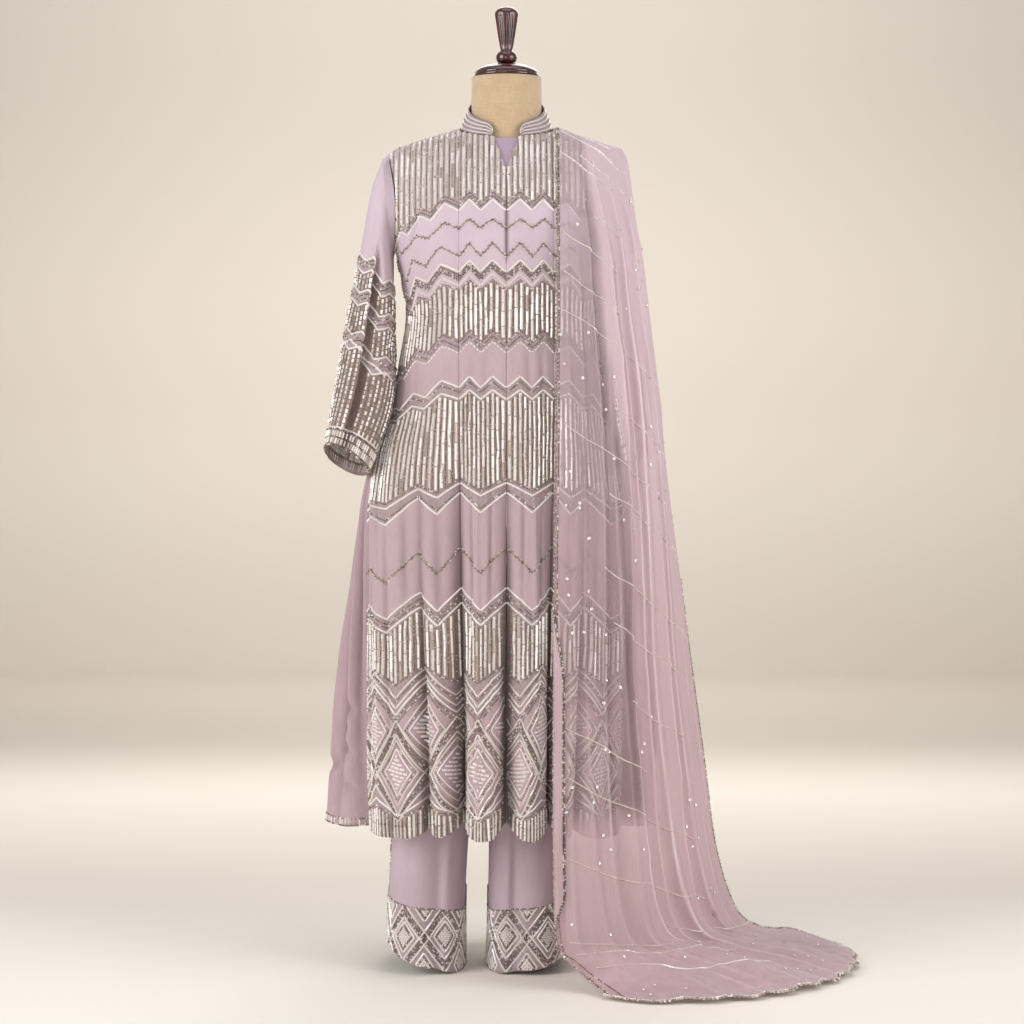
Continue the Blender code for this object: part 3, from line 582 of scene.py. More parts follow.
# How far apart the beads of each line on the kameez are, in metres.
BEAD_PITCH = {Thread.WHITE: 0.0040, Thread.LILAC: 0.0040, Thread.BRONZE: 0.0038,
              Thread.CHAIN: 0.0036, Thread.DASH: 0.0070}


class BeadTray:
    """Collects beads and cords, then joins them into one mesh."""

    def __init__(self, seed: int) -> None:
        """Starts empty, with its own seeded chance."""
        self.chance = np.random.default_rng(seed)
        self.points: list[Array] = []
        self.faces: list[Array] = []
        self.tones: list[Array] = []
        self.count = 0

    def _add(self, points: Array, faces: Array, tones: Array) -> None:
        """Keeps one batch: points n by k by 3, faces m by 3 within a bead, tones n."""
        n, k = points.shape[:2]
        starts = self.count + np.arange(n)[:, None, None] * k
        self.points.append(points.reshape(-1, 3))
        self.faces.append((faces[None] + starts).reshape(-1, 3))
        self.tones.append(np.repeat(tones, k))
        self.count += n * k

    def bars(self, start: Array, end: Array, normal: Array, width: float, height: float,
             tone: Number) -> None:
        """Bugle beads: six-sided roofs from start to end.

        Args:
            start, end: The beads' ends.
            normal: The way out of the cloth.
            width, height: A bead's size.
            tone: Its place on the bead colours, from 0, dark, to 1, white.
        """
        if not len(start):
            return
        side = unit(np.cross(end - start, normal)) * (0.5 * width)
        sunk = normal * 0.0006
        slope = (end - start) * 0.045
        top = normal * height
        points = np.stack([start - side - sunk, start + side - sunk, end + side - sunk,
                           end - side - sunk, start + slope + top, end - slope + top], axis=1)
        faces = np.array([[1, 2, 5], [1, 5, 4], [3, 0, 4], [3, 4, 5], [0, 1, 4], [2, 3, 5]])
        self._add(points, faces, np.broadcast_to(tone, len(start)).astype(float))

    def pips(self, at: Array, along: Array, normal: Array, length: float, width: float,
             height: float, tone: Number) -> None:
        """Round and square beads: four-sided peaks."""
        if not len(at):
            return
        along = unit(along - normal * (along * normal).sum(axis=-1, keepdims=True))
        side = np.cross(normal, along)
        a, b = along * (0.5 * length), side * (0.5 * width)
        foot = at - normal * 0.0005
        points = np.stack([foot + a, foot + b, foot - a, foot - b, at + normal * height], axis=1)
        faces = np.array([[0, 1, 4], [1, 2, 4], [2, 3, 4], [3, 0, 4]])
        self._add(points, faces, np.broadcast_to(tone, len(at)).astype(float))

    def discs(self, at: Array, normal: Array, radius: float, height: float,
              tone: Number) -> None:
        """Sequins: shallow eight-sided cups."""
        side = unit(np.cross(normal, np.array([0.21, 0.13, 0.97])))
        other = np.cross(normal, side)
        turn = np.radians(np.arange(0.0, 360.0, 45.0))
        rim = (at + normal * height)[:, None] + radius * (
            side[:, None] * np.cos(turn)[None, :, None]
            + other[:, None] * np.sin(turn)[None, :, None])
        points = np.concatenate([rim, (at + normal * 0.3 * height)[:, None]], axis=1)
        k = np.arange(8)
        faces = np.stack([k, (k + 1) % 8, np.full(8, 8)], axis=1)
        self._add(points, faces, np.broadcast_to(tone, len(at)).astype(float))

    def bar_row(self, points: Array, normals: Array, gap: float, width: float, height: float,
                tone: Number) -> None:
        """A row of bugle beads from point to point.

        Args:
            points, normals: The beads' ends, and the way out of the cloth there.
            gap: The share of its place that a bead leaves free at each end.
            width, height, tone: As for bars.
        """
        free = gap * (points[1:] - points[:-1])
        self.bars(points[:-1] + free, points[1:] - free, normals[:-1], width, height, tone)

    def cord(self, line: Array, normal: Array, width: float, height: float,
             tone: float) -> None:
        """A cord laid along a line of points, three points wide."""
        if len(line) < 2:
            return
        side = unit(np.cross(np.gradient(line, axis=0), normal)) * (0.5 * width)
        sunk = normal * 0.0004
        points = np.stack([line - side - sunk, line + normal * height, line + side - sunk], axis=1)
        n = len(line)
        k = self.count + np.arange(n - 1)[:, None] * 3
        self.points.append(points.reshape(-1, 3))
        self.faces.append((k[..., None] + np.array(
            [[0, 1, 4], [0, 4, 3], [1, 2, 5], [1, 5, 4]])[None]).reshape(-1, 3))
        self.tones.append(np.full(3 * n, tone))
        self.count += 3 * n

    def sew(self, points: Array, normals: Array, thread: Thread) -> None:
        """Sews one kind of thread or beads along points.

        Args:
            points, normals: The line on the cloth.
            thread: What it is sewn from.
        """
        n = len(points)
        if n < 3:
            return
        along = unit(np.gradient(points, axis=0))
        chance = self.chance
        if thread in (Thread.WHITE, Thread.LILAC):
            tone = 0.98 if thread is Thread.WHITE else 0.86
            self.cord(points, normals, 0.0040, 0.0019, tone)
        elif thread is Thread.DASH:
            self.bar_row(points, normals, 0.12, 0.0036, 0.0018, 0.95)
        elif thread is Thread.BRONZE:
            tone = np.clip(chance.normal(0.16, 0.16, n), 0.0, 0.6)
            bright = chance.random(n) < 0.20
            self.pips(points, along, normals, 0.0042, 0.0040, 0.0024,
                      np.where(bright, 0.95, tone))
        else:
            side = np.cross(normals, along)
            self.cord(points, normals, 0.0024, 0.0014, 0.40)
            sway = np.where(np.arange(n) % 2 == 0, 1.0, -1.0)[:, None] * 0.0015
            self.pips(points + side * sway, along + 0.8 * side * np.sign(sway), normals,
                      0.0052, 0.0036, 0.0030, np.clip(chance.normal(0.50, 0.30, n), 0.0, 1.0))

    def mesh(self, name: str) -> bpy.types.Mesh:
        """All the beads as one mesh."""
        points = np.concatenate(self.points)
        points[:, 2] = np.maximum(points[:, 2], 0.0003)
        made = mesh_of(name, points, np.concatenate(self.faces), level=True)
        mark(made, "tone", np.concatenate(self.tones))
        return made


class Workshop:
    """Puts finished pieces into the scene, round the form's axis."""

    def __init__(self, frame: dict) -> None:
        """Finds the form's axis from its cap.
        """
        self.nodes = frame["nodes"]
        low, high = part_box("form_cap")
        self.axis = np.array([(low[0] + high[0]) / 2.0, (low[1] + high[1]) / 2.0, 0.0])
        self.finishes: dict[str, bpy.types.Material] = {}

    def finish(self, finish: "Finish") -> bpy.types.Material:
        """A finish's material, made once."""
        if finish.name not in self.finishes:
            self.finishes[finish.name] = finish.material()
        return self.finishes[finish.name]

    def put(self, mesh: bpy.types.Mesh, finish: "Finish",
            replaces: Sequence[str] = ()) -> bpy.types.Object:
        """Makes an object of a mesh built round the axis.

        Args:
            mesh: The mesh, whose name the piece takes.
            finish: The finish it is dressed in.
            replaces: The CAD nodes that it stands for.

        Returns:
            The object.
        """
        points = np.empty(len(mesh.vertices) * 3, np.float32)
        mesh.vertices.foreach_get("co", points)
        mesh.vertices.foreach_set("co", (points.reshape(-1, 3) + self.axis).ravel())
        mesh.update()
        mesh.materials.append(self.finish(finish))
        piece = bpy.data.objects.new(mesh.name, mesh)
        bpy.context.scene.collection.objects.link(piece)
        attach(piece, "root")
        if replaces:
            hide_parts(*replaces)
        LOG.info("%s: %d faces", mesh.name, len(mesh.polygons))
        return piece

    def cloth(self, name: str, weave: Weave, finish: "Finish",
              replaces: Sequence[str] = (),
              ) -> bpy.types.Object:
        piece = self.put(weave.mesh(name), finish, replaces)
        width, length, area = weave.cut()
        flat = (round(width, 3), round(length, 3))
        if area < 0.3 * flat[0] * flat[1]:
            area = 0.3 * flat[0] * flat[1]
        LOG.info("%s: cut %.3f x %.3f m, %.4f m2", name, *flat, area)
        return piece

    def tree(self, *names: str) -> BVHTree:
        """A search tree of CAD nodes, round the axis."""
        points: list[Vector] = []
        faces: list[tuple] = []
        shift = Vector(self.axis)
        for name in names:
            mesh = self.nodes[name].data
            start = len(points)
            points += [v.co - shift for v in mesh.vertices]
            faces += [tuple(start + i for i in p.vertices) for p in mesh.polygons]
        return BVHTree.FromPolygons(points, faces)


# Finishes


@dataclass(frozen=True)
class Finish:
    """A named finish; each kind makes its own material."""

    name: str

    def material(self) -> bpy.types.Material:
        """Makes the material."""
        raise NotImplementedError


@dataclass(frozen=True)
class Georgette(Finish):
    """Fine crinkled cloth, with worked and banded grounds where beads are sewn on."""

    high: Colour = linear(214, 196, 210)
    low: Colour = linear(188, 163, 168)
    high_z: float = 1.33
    low_z: float = 0.96
    ground: Colour = linear(178, 158, 152)
    band: Colour = linear(172, 154, 154)
    beaded: bool = True

    def material(self) -> bpy.types.Material:
        """Lilac above, mauve below, with crepe relief, soft uneven dye and painted shade where the
        deep mark lies.
        """
        loom = Loom(self.name)
        place = loom.place()
        height = loom.axis(place, "Z")
        dye = loom.noise(place, 7.0, 3.0)
        colour = loom.mix(height.ramp(self.low_z, self.high_z), self.low, self.high)
        colour = loom.mix(dye.ramp(0.3, 0.7, 0.0, 0.28), colour,
                          tuple(0.80 * c for c in self.low))
        crinkle = loom.noise(loom.scaled(place, (1.0, 1.0, 0.16)), 260.0, 2.0)
        crepe = loom.noise(place, 1500.0, 1.0)
        colour = loom.mix(crinkle.ramp(0.35, 0.7, 0.0, 0.06), colour, linear(236, 222, 228))
        # Painted shade: the deep mark darkens the cloth in creases, folds and down the front slit;
        # on the sleeves it also darkens the cuff band.
        colour = loom.mix(loom.attribute("deep") * 0.6, colour, tuple(0.42 * c for c in self.low))
        relief = crinkle * 0.6 + crepe * 0.4
        rough: Union[float, Strand] = CREPE_ROUGH
        if self.beaded:
            worked = loom.attribute("worked").ramp(-0.0008, 0.0008)
            banded = loom.attribute("banded").ramp(-0.0008, 0.0008)
            grain = loom.noise(loom.scaled(place, (1.0, 1.0, 0.5)), 420.0, 2.0)
            band = loom.mix(grain.ramp(0.42, 0.62), tuple(0.72 * c for c in self.band), self.band)
            ground = loom.mix(grain.ramp(0.35, 0.65), tuple(0.66 * c for c in self.ground),
                              self.ground)
            ground = loom.mix(height.ramp(1.15, 1.36, 0.0, 0.6), ground, linear(206, 192, 192))
            stripe = loom.attribute("column")
            groove = stripe.math("FRACT").math("SUBTRACT", 0.5).math("ABSOLUTE").ramp(0.36, 0.47)
            ground = loom.mix(groove * 0.8, ground, linear(112, 92, 86))
            colour = loom.mix(banded * 0.72, colour, band)
            colour = loom.mix(worked, colour, ground)
            # Beaded cloths get the painted shade again, deeper, from the same deep mark.
            colour = loom.mix(loom.attribute("deep") * 0.55, colour, linear(92, 72, 68))
            relief = relief + grain * (worked + banded * 0.6)
            rough = worked * -0.2 + CREPE_ROUGH
        normal = loom.relief(relief, 0.0006, 0.55)
        return loom.dress(Base_Color=colour, Roughness=rough, Normal=normal,
                          Sheen_Weight=0.25, Sheen_Roughness=0.5, Specular_IOR_Level=0.25)


@dataclass(frozen=True)
class Beading(Finish):
    """Glass and metal beads, from dark bronze to white by their tone."""

    rough: float = 0.28
    metal: float = 0.25

    def material(self) -> bpy.types.Material:
        """Colours each bead by its tone, with painted glints from noise."""
        loom = Loom(self.name)
        tone = loom.attribute("tone")
        colour = loom.node("ShaderNodeValToRGB", {"stops": (
            (0.0, linear(84, 66, 58)), (0.25, linear(122, 102, 90)), (0.5, linear(172, 155, 140)),
            (0.75, linear(219, 207, 198)), (1.0, linear(249, 244, 241)))}, {"Fac": tone})
        # Painted highlight: the glint noise whitens spots of each bead's colour.
        glint = loom.noise(loom.place(), 700.0, 1.0)
        colour = loom.mix(glint.ramp(0.45, 0.7, 0.0, 0.35), colour, linear(250, 247, 240))
        return loom.dress(Base_Color=colour, Roughness=glint * 0.25 + self.rough - 0.1,
                          Metallic=self.metal, Specular_IOR_Level=0.6)


@dataclass(frozen=True)
class Net(Finish):
    """Sheer georgette that lets what is behind it show faintly."""

    near: Colour = linear(219, 194, 204)
    far: Colour = linear(192, 162, 168)

    def material(self) -> bpy.types.Material:
        """A thin crinkled veil, denser where it lies in pleats, with a painted highlight along
        their crests and painted shade beside them.
        """
        loom = Loom(self.name)
        place = loom.place()
        height = loom.axis(place, "Z")
        crush = loom.noise(loom.scaled(place, (1.0, 1.0, 0.10)), 42.0, 3.0, 0.6)
        fine = loom.noise(loom.scaled(place, (1.0, 1.0, 0.35)), 300.0, 2.0)
        crest = loom.attribute("crest")
        colour = loom.mix(height.ramp(0.25, 1.35), self.far, self.near)
        colour = loom.mix(crush.ramp(0.40, 0.75, 0.0, 0.25), colour, linear(208, 182, 188))
        # Painted highlight along the pleats' crests, where the crest mark is above 0.
        colour = loom.mix(crest.ramp(0.0, 1.0, 0.0, 0.85), colour, linear(240, 220, 226))
        # Painted shade where the crest mark is below 0: beside each crest, and low on the front
        # fall's inner part.
        colour = loom.mix(crest.ramp(-1.0, 0.0, 0.55, 0.0), colour, linear(158, 126, 133))
        alpha = loom.attribute("cover") + crush.ramp(0.3, 0.75, -0.05, 0.05) + crest * 0.12
        normal = loom.relief(crush * 0.6 + fine * 0.4, 0.0018, 0.5)
        return loom.dress(Base_Color=colour, Roughness=0.7, Alpha=alpha, Normal=normal,
                          Sheen_Weight=0.3, Sheen_Roughness=0.4, Specular_IOR_Level=0.2)


@dataclass(frozen=True)
class Crepe(Finish):
    """Plain matte cloth with a faint vertical weave."""

    colour: Colour = linear(186, 162, 178)
    shade: Colour = linear(162, 136, 152)
    fine: float = 900.0

    def material(self) -> bpy.types.Material:
        """One colour with soft dye changes and a fine weave."""
        loom = Loom(self.name)
        place = loom.place()
        dye = loom.noise(place, 9.0, 2.0)
        weave = loom.noise(loom.scaled(place, (1.0, 1.0, 0.4)), self.fine, 2.0)
        colour = loom.mix(dye.ramp(0.3, 0.75, 0.0, 0.6), self.colour, self.shade)
        colour = loom.mix(weave.ramp(0.4, 0.7, 0.0, 0.18), colour,
                          tuple(min(1.0, 1.25 * c) for c in self.colour))
        return loom.dress(Base_Color=colour, Roughness=0.82, Sheen_Weight=0.2,
                          Specular_IOR_Level=0.25, Normal=loom.relief(weave, 0.0004, 0.5))


@dataclass(frozen=True)
class Linen(Finish):
    """The dress form's cotton cover: threads both ways, slightly slubbed."""

    colour: Colour = linear(209, 183, 149)
    shade: Colour = linear(182, 154, 121)

    def material(self) -> bpy.types.Material:
        """A plain weave in cream."""
        loom = Loom(self.name)
        place = loom.place()
        warp = loom.noise(loom.scaled(place, (1.0, 1.0, 0.05)), 900.0, 2.0)
        weft = loom.noise(loom.scaled(place, (0.08, 0.08, 1.0)), 900.0, 2.0)
        slub = loom.noise(place, 26.0, 3.0)
        cross = warp * 0.5 + weft * 0.5
        colour = loom.mix(slub.ramp(0.3, 0.75, 0.0, 0.5), self.colour, self.shade)
        colour = loom.mix(cross.ramp(0.42, 0.6, 0.0, 0.35), colour, self.shade)
        return loom.dress(Base_Color=colour, Roughness=0.88, Sheen_Weight=0.7,
                          Specular_IOR_Level=0.2, Normal=loom.relief(cross, 0.0005, 0.6))


@dataclass(frozen=True)
class Lacquer(Finish):
    """Dark red-brown wood under a gloss coat."""

    light: Colour = linear(98, 34, 28)
    dark: Colour = linear(38, 10, 10)

    def material(self) -> bpy.types.Material:
        """Fine upright grain under lacquer."""
        loom = Loom(self.name)
        place = loom.place()
        grain = loom.noise(loom.scaled(place, (1.0, 1.0, 0.06)), 220.0, 4.0, 0.6)
        cloud = loom.noise(place, 30.0, 2.0)
        colour = loom.mix(grain.ramp(0.35, 0.7), self.dark, self.light)
        colour = loom.mix(cloud.ramp(0.4, 0.7, 0.0, 0.6), colour, self.dark)
        return loom.dress(Base_Color=colour, Roughness=0.24, Coat_Weight=1.0,
                          Coat_Roughness=0.06, Specular_IOR_Level=0.5)


@dataclass(frozen=True)
class Steel(Finish):
    """Brushed stand tube."""

    def material(self) -> bpy.types.Material:
        """Fine brush lines along the posts."""
        loom = Loom(self.name)
        brush = loom.noise(loom.scaled(loom.place(), (1.0, 1.0, 0.03)), 900.0, 2.0)
        colour = loom.mix(brush.ramp(0.3, 0.7), linear(150, 150, 152), linear(196, 196, 198))
        return loom.dress(Base_Color=colour, Metallic=1.0, Roughness=brush * 0.2 + 0.28)


@dataclass(frozen=True)
class Paper(Finish):
    """The studio's seamless backdrop and floor."""

    # near is a painted pool of light on the floor round the form; the foot and rear colours are
    # painted shade on the far floor and low on the wall.
    near: Colour = linear(254, 248, 239)
    floor: Colour = linear(241, 232, 222)
    foot: Colour = linear(193, 184, 174)
    rear_shade: Colour = linear(216, 206, 195)
    wall: Colour = linear(231, 222, 211)

    def material(self) -> bpy.types.Material:
        """Pale floor that turns into a warm grey wall, with light and shade painted in: a painted
        pool of light near the form, painted shade darkest low down, and painted shade towards the
        wall's top.
        """
        loom = Loom(self.name)
        place = loom.place()
        height = loom.axis(place, "Z")
        mottle = loom.noise(place, 0.9, 2.0)
        depth = loom.axis(place, "Y")
        # Painted pool of light near the form, fading into the floor colour.
        colour = loom.mix(depth.ramp(0.3, 0.9), self.near, self.floor)
        # Painted shade on the far floor and at the wall's foot.
        colour = loom.mix(depth.ramp(1.9, 3.2), colour, self.foot)
        colour = loom.mix(depth.ramp(3.2, 4.8), colour, self.rear_shade)
        colour = loom.mix(height.ramp(0.0, 0.9), colour, self.wall)
        # Painted shade towards the wall's top.
        colour = loom.mix(height.ramp(1.2, 2.4), colour, tuple(0.84 * c for c in self.wall))
        colour = loom.mix(mottle.ramp(0.3, 0.8, 0.0, 0.10), colour,
                          tuple(0.85 * c for c in self.wall))
        return loom.dress(Base_Color=colour, Roughness=0.9, Specular_IOR_Level=0.1)


BODICE = Georgette("beaded_georgette")
SIDE_PANEL = Georgette("side_georgette", high=linear(196, 172, 180), low=linear(182, 156, 162),
                       beaded=False)
SLEEVE_CLOTH = Georgette("sleeve_georgette", low=linear(196, 172, 176), low_z=1.0,
                         ground=linear(158, 136, 128))
TROUSER_CLOTH = Georgette("trouser_crepe", high=linear(208, 186, 200), low=linear(196, 172, 184),
                          high_z=0.30, low_z=0.10)
PLAIN_CREPE = Crepe("plain_crepe")
SLIP_CLOTH = Crepe("slip_crepe", linear(180, 160, 178), linear(158, 136, 156))
VEIL = Net("dupatta_georgette")
BEADS = Beading("glass_beads")
SEQUINS = Beading("sequins", rough=0.16, metal=0.55)
COTTON = Linen("cream_cotton")
WOOD = Lacquer("lacquered_wood")
STEEL = Steel("brushed_steel")
STUDIO = Paper("studio_paper")


# Kameez


class Side(Enum):
    """Which side of the wearer a piece is on."""

    RIGHT = -1
    LEFT = 1

    @property
    def word(self) -> str:
        """The side as it stands in names."""
        return self.name.lower()


class Gore(Enum):
    """The long panels that the kameez is cut in."""

    FRONT_CENTRE = "front_centre"
    FRONT_SIDE = "front_side"
    SIDE = "side_gore"
    BACK_SIDE = "back_side"
    BACK_CENTRE = "back_centre"

    @property
    def centre(self) -> bool:
        """Whether it lies at the centre front or back."""
        return self in (Gore.FRONT_CENTRE, Gore.BACK_CENTRE)


class Wave(Enum):
    """How tightly a line of beadwork zigzags."""

    FINE = 0
    MID = 1
    LATTICE = 2
    FLAT = 3


@dataclass(frozen=True)
class Line:
    """A line of beadwork round the kameez: its height at the centre and its swing."""

    wave: Wave
    height: float
    swing: float
    thread: Thread = Thread.WHITE


def lines_of(wave: Wave, *rows: tuple[float, float, Thread]) -> tuple[Line, ...]:
    """Lines with one wave, from the height, swing and thread of each."""
    return tuple(Line(wave, *row) for row in rows)


@dataclass(frozen=True)
class Trough:
    """A soft crease in a panel, by place across and height."""

    across: float
    z: float
    width: float
    reach: float
    lean: float
    depth: float


@dataclass
class Kameez:
    """The flared body of the kameez, its beadwork, and the cloth under its neck opening.

    levels holds rings from hem to neck: z, half widths right and left, half depths front
    and back, the power of the outline, and the tilt that lowers the front.
    """

    levels: Array = field(default_factory=lambda: np.array([
        (0.258, 0.313, 0.262, 0.194, 0.205, 2.2, 0.016),
        (0.360, 0.301, 0.253, 0.186, 0.196, 2.2, 0.009),
        (0.500, 0.284, 0.241, 0.175, 0.184, 2.2, 0.004),
        (0.650, 0.267, 0.229, 0.164, 0.172, 2.2, 0.001),
        (0.790, 0.251, 0.213, 0.153, 0.158, 2.2, 0.0),
        (0.890, 0.226, 0.192, 0.144, 0.146, 2.2, 0.0),
        (0.960, 0.198, 0.178, 0.136, 0.134, 2.2, 0.0),
        (1.030, 0.184, 0.172, 0.130, 0.124, 2.2, 0.0),
        (1.115, 0.171, 0.166, 0.124, 0.112, 2.2, 0.0),
        (1.170, 0.179, 0.172, 0.127, 0.109, 2.2, 0.0),
        (1.225, 0.190, 0.181, 0.131, 0.109, 2.2, 0.0),
        (1.285, 0.199, 0.190, 0.128, 0.111, 2.2, 0.0),
        (1.340, 0.203, 0.197, 0.113, 0.107, 2.1, 0.001),
        (1.375, 0.203, 0.197, 0.094, 0.096, 1.9, 0.003),
        (1.397, 0.196, 0.190, 0.080, 0.084, 1.8, 0.006),
        (1.412, 0.160, 0.156, 0.075, 0.077, 1.8, 0.010),
        (1.425, 0.115, 0.115, 0.072, 0.073, 1.9, 0.014),
        (1.435, 0.080, 0.080, 0.070, 0.070, 2.0, 0.018)]))
    hem_z: float = 0.258
    gore_top: int = 7
    gore_close: float = 0.15
    gore_spread: float = 39.0
    tip_spread: float = 0.8
    underarm_z: float = 1.225
    shoulder_z: float = 1.397
    armhole_spread: float = 22.0
    princess_x: float = 0.0795
    opening_x: float = 0.0235
    opening_z: float = 1.358
    fold_top: float = 0.98
    fold_depth: float = 0.075
    hem_lift: float = 0.020
    seam_half: float = 0.00018
    row_step: float = 0.006
    columns: dict = field(default_factory=lambda: {True: 36, False: 56})
    yoke_z: float = 1.290
    yoke_pitch: float = 0.0096
    seam: float = 0.00014
    # slit: the heights over which the painted shade line down the centre front slit comes in, and
    # its half width, in metres.
    slit: tuple[float, float, float] = (1.195, 1.225, 0.0026)
    bugle: float = 0.0250
    # The lines and zones of beadwork, top to bottom.
    lines: tuple[Line, ...] = (
        *lines_of(
            Wave.FINE,
            (1.3095, 0.0090, Thread.BRONZE), (1.3030, 0.0092, Thread.BRONZE),
            (1.2970, 0.0095, Thread.WHITE), (1.2655, 0.0080, Thread.CHAIN),
            (1.2225, 0.0115, Thread.CHAIN), (1.1950, 0.0100, Thread.WHITE),
            (1.1900, 0.0100, Thread.BRONZE), (1.1860, 0.0100, Thread.BRONZE),
            (1.1820, 0.0100, Thread.BRONZE), (1.1720, 0.0100, Thread.LILAC),
            (1.1640, 0.0080, Thread.BRONZE), (1.0780, 0.0100, Thread.BRONZE),
            (1.0690, 0.0100, Thread.BRONZE), (1.0600, 0.0100, Thread.DASH),
            (1.0020, 0.0095, Thread.WHITE), (0.9935, 0.0090, Thread.BRONZE),
            (0.9810, 0.0080, Thread.WHITE),
        ),
        *lines_of(
            Wave.MID,
            (0.8300, 0.0100, Thread.BRONZE), (0.8230, 0.0105, Thread.WHITE),
            (0.8065, 0.0150, Thread.BRONZE), (0.8010, 0.0165, Thread.WHITE),
            (0.7050, 0.0210, Thread.CHAIN), (0.6400, 0.0180, Thread.WHITE),
            (0.6300, 0.0175, Thread.BRONZE), (0.6230, 0.0176, Thread.BRONZE),
            (0.6155, 0.0178, Thread.WHITE),
        ),
        *lines_of(
            Wave.LATTICE,
            (0.5160, 0.0150, Thread.BRONZE), (0.5040, 0.0250, Thread.LILAC),
            (0.4980, 0.0258, Thread.BRONZE), (0.4880, 0.0268, Thread.LILAC),
            (0.4776, 0.0278, Thread.WHITE), (0.4700, 0.0290, Thread.BRONZE),
            (0.4620, 0.0300, Thread.BRONZE), (0.4020, -0.0405, Thread.LILAC),
            (0.3945, -0.0405, Thread.BRONZE), (0.3895, -0.0405, Thread.BRONZE),
            (0.3845, -0.0405, Thread.BRONZE), (0.3770, -0.0405, Thread.LILAC),
            (0.3200, 0.0405, Thread.LILAC), (0.3125, 0.0405, Thread.BRONZE),
            (0.3075, 0.0355, Thread.BRONZE), (0.3000, 0.0300, Thread.LILAC),
            (0.2920, 0.0145, Thread.WHITE), (0.2840, 0.0095, Thread.BRONZE),
        ),
        *lines_of(
            Wave.FLAT,
            (0.2620, 0.0, Thread.BRONZE),
        ),
    )
    stripes: tuple[tuple[Line, Line], ...] = (
        (Line(Wave.FLAT, 1.60, 0.0), Line(Wave.FINE, 1.3100, 0.0090)),
        (Line(Wave.FINE, 1.1620, 0.0080), Line(Wave.FINE, 1.0800, 0.0100)),
        (Line(Wave.FINE, 0.9767, 0.0080), Line(Wave.MID, 0.8320, 0.0100)),
        (Line(Wave.MID, 0.6110, 0.0178), Line(Wave.LATTICE, 0.5180, 0.0150)),
        (Line(Wave.LATTICE, 0.2815, 0.0095), Line(Wave.FLAT, 0.20, 0.0)),
    )
    bands: tuple[tuple[Line, Line], ...] = (
        (Line(Wave.FINE, 1.3100, 0.0090), Line(Wave.FINE, 1.2985, 0.0095)),
        (Line(Wave.FINE, 1.1940, 0.0100), Line(Wave.FINE, 1.1790, 0.0100)),
        (Line(Wave.FINE, 1.0800, 0.0100), Line(Wave.FINE, 1.0610, 0.0100)),
        (Line(Wave.FINE, 1.0010, 0.0095), Line(Wave.FINE, 0.9767, 0.0080)),
        (Line(Wave.MID, 0.8320, 0.0100), Line(Wave.MID, 0.8020, 0.0165)),
        (Line(Wave.MID, 0.6390, 0.0180), Line(Wave.MID, 0.6110, 0.0178)),
        (Line(Wave.LATTICE, 0.5180, 0.0150), Line(Wave.LATTICE, 0.4610, 0.0300)),
        (Line(Wave.LATTICE, 0.4090, -0.0405), Line(Wave.LATTICE, 0.3700, -0.0405)),
        (Line(Wave.LATTICE, 0.3270, 0.0405), Line(Wave.LATTICE, 0.2830, 0.0120)),
    )

    def crease_rows(self, gore: Gore) -> tuple[tuple[float, float, float], ...]:
        """A gore's valleys: place across, share of the full depth, width."""
        if gore.centre:
            return (0.0, 0.90, 0.24), (1.0, 1.0, 0.24)
        if gore is Gore.SIDE:
            return (0.0, 0.40, 0.20), (0.5, 0.06, 0.16), (1.0, 0.40, 0.20)
        return (0.0, 1.0, 0.13), (0.30, 0.62, 0.08), (1.0, 0.40, 0.16)

    def spread(self, z: Array) -> Array:
        """Degrees from the side to the edge of a side piece: a gore's or the armhole's."""
        top = self.levels[self.gore_top, 0]
        closed = float(spline(self.levels, self.gore_top + self.gore_close)[0])
        share = (np.clip((top - z) / (top - self.hem_z), 0.0, 1.0)) ** 0.8
        gore = self.tip_spread + (self.gore_spread - self.tip_spread) * share
        tip = self.tip_spread * np.clip((closed - z) / (closed - top), 0.0, 1.0)
        up = np.clip((z - self.underarm_z) / (self.shoulder_z - self.underarm_z), 0.0, 1.0)
        arm = self.armhole_spread * np.sin(math.pi * up) ** 0.55
        return np.where(z <= top, gore, np.where(z < closed, tip, arm))

    def edges(self, gore: Gore, side: Side, level: Array) -> tuple[Array, Array]:
        """Girths of a gore's two edges at rings."""
        s, z = side.value, level[..., 0]
        wide = self.spread(z)
        seam = girth_at(level, np.full(z.shape, s * self.princess_x))
        if gore is Gore.FRONT_CENTRE:
            top = self.levels[-1, 0]
            share = np.maximum(0.0, (z - self.opening_z) / (top - self.opening_z))
            return girth_at(level, s * self.opening_x * share), seam
        if gore is Gore.FRONT_SIDE:
            return seam, s * (90.0 - wide)
        if gore is Gore.SIDE:
            return s * (90.0 - wide), s * (90.0 + wide)
        if gore is Gore.BACK_SIDE:
            return s * 180.0 - seam, s * (90.0 + wide)
        return np.full(z.shape, s * 180.0), s * 180.0 - seam

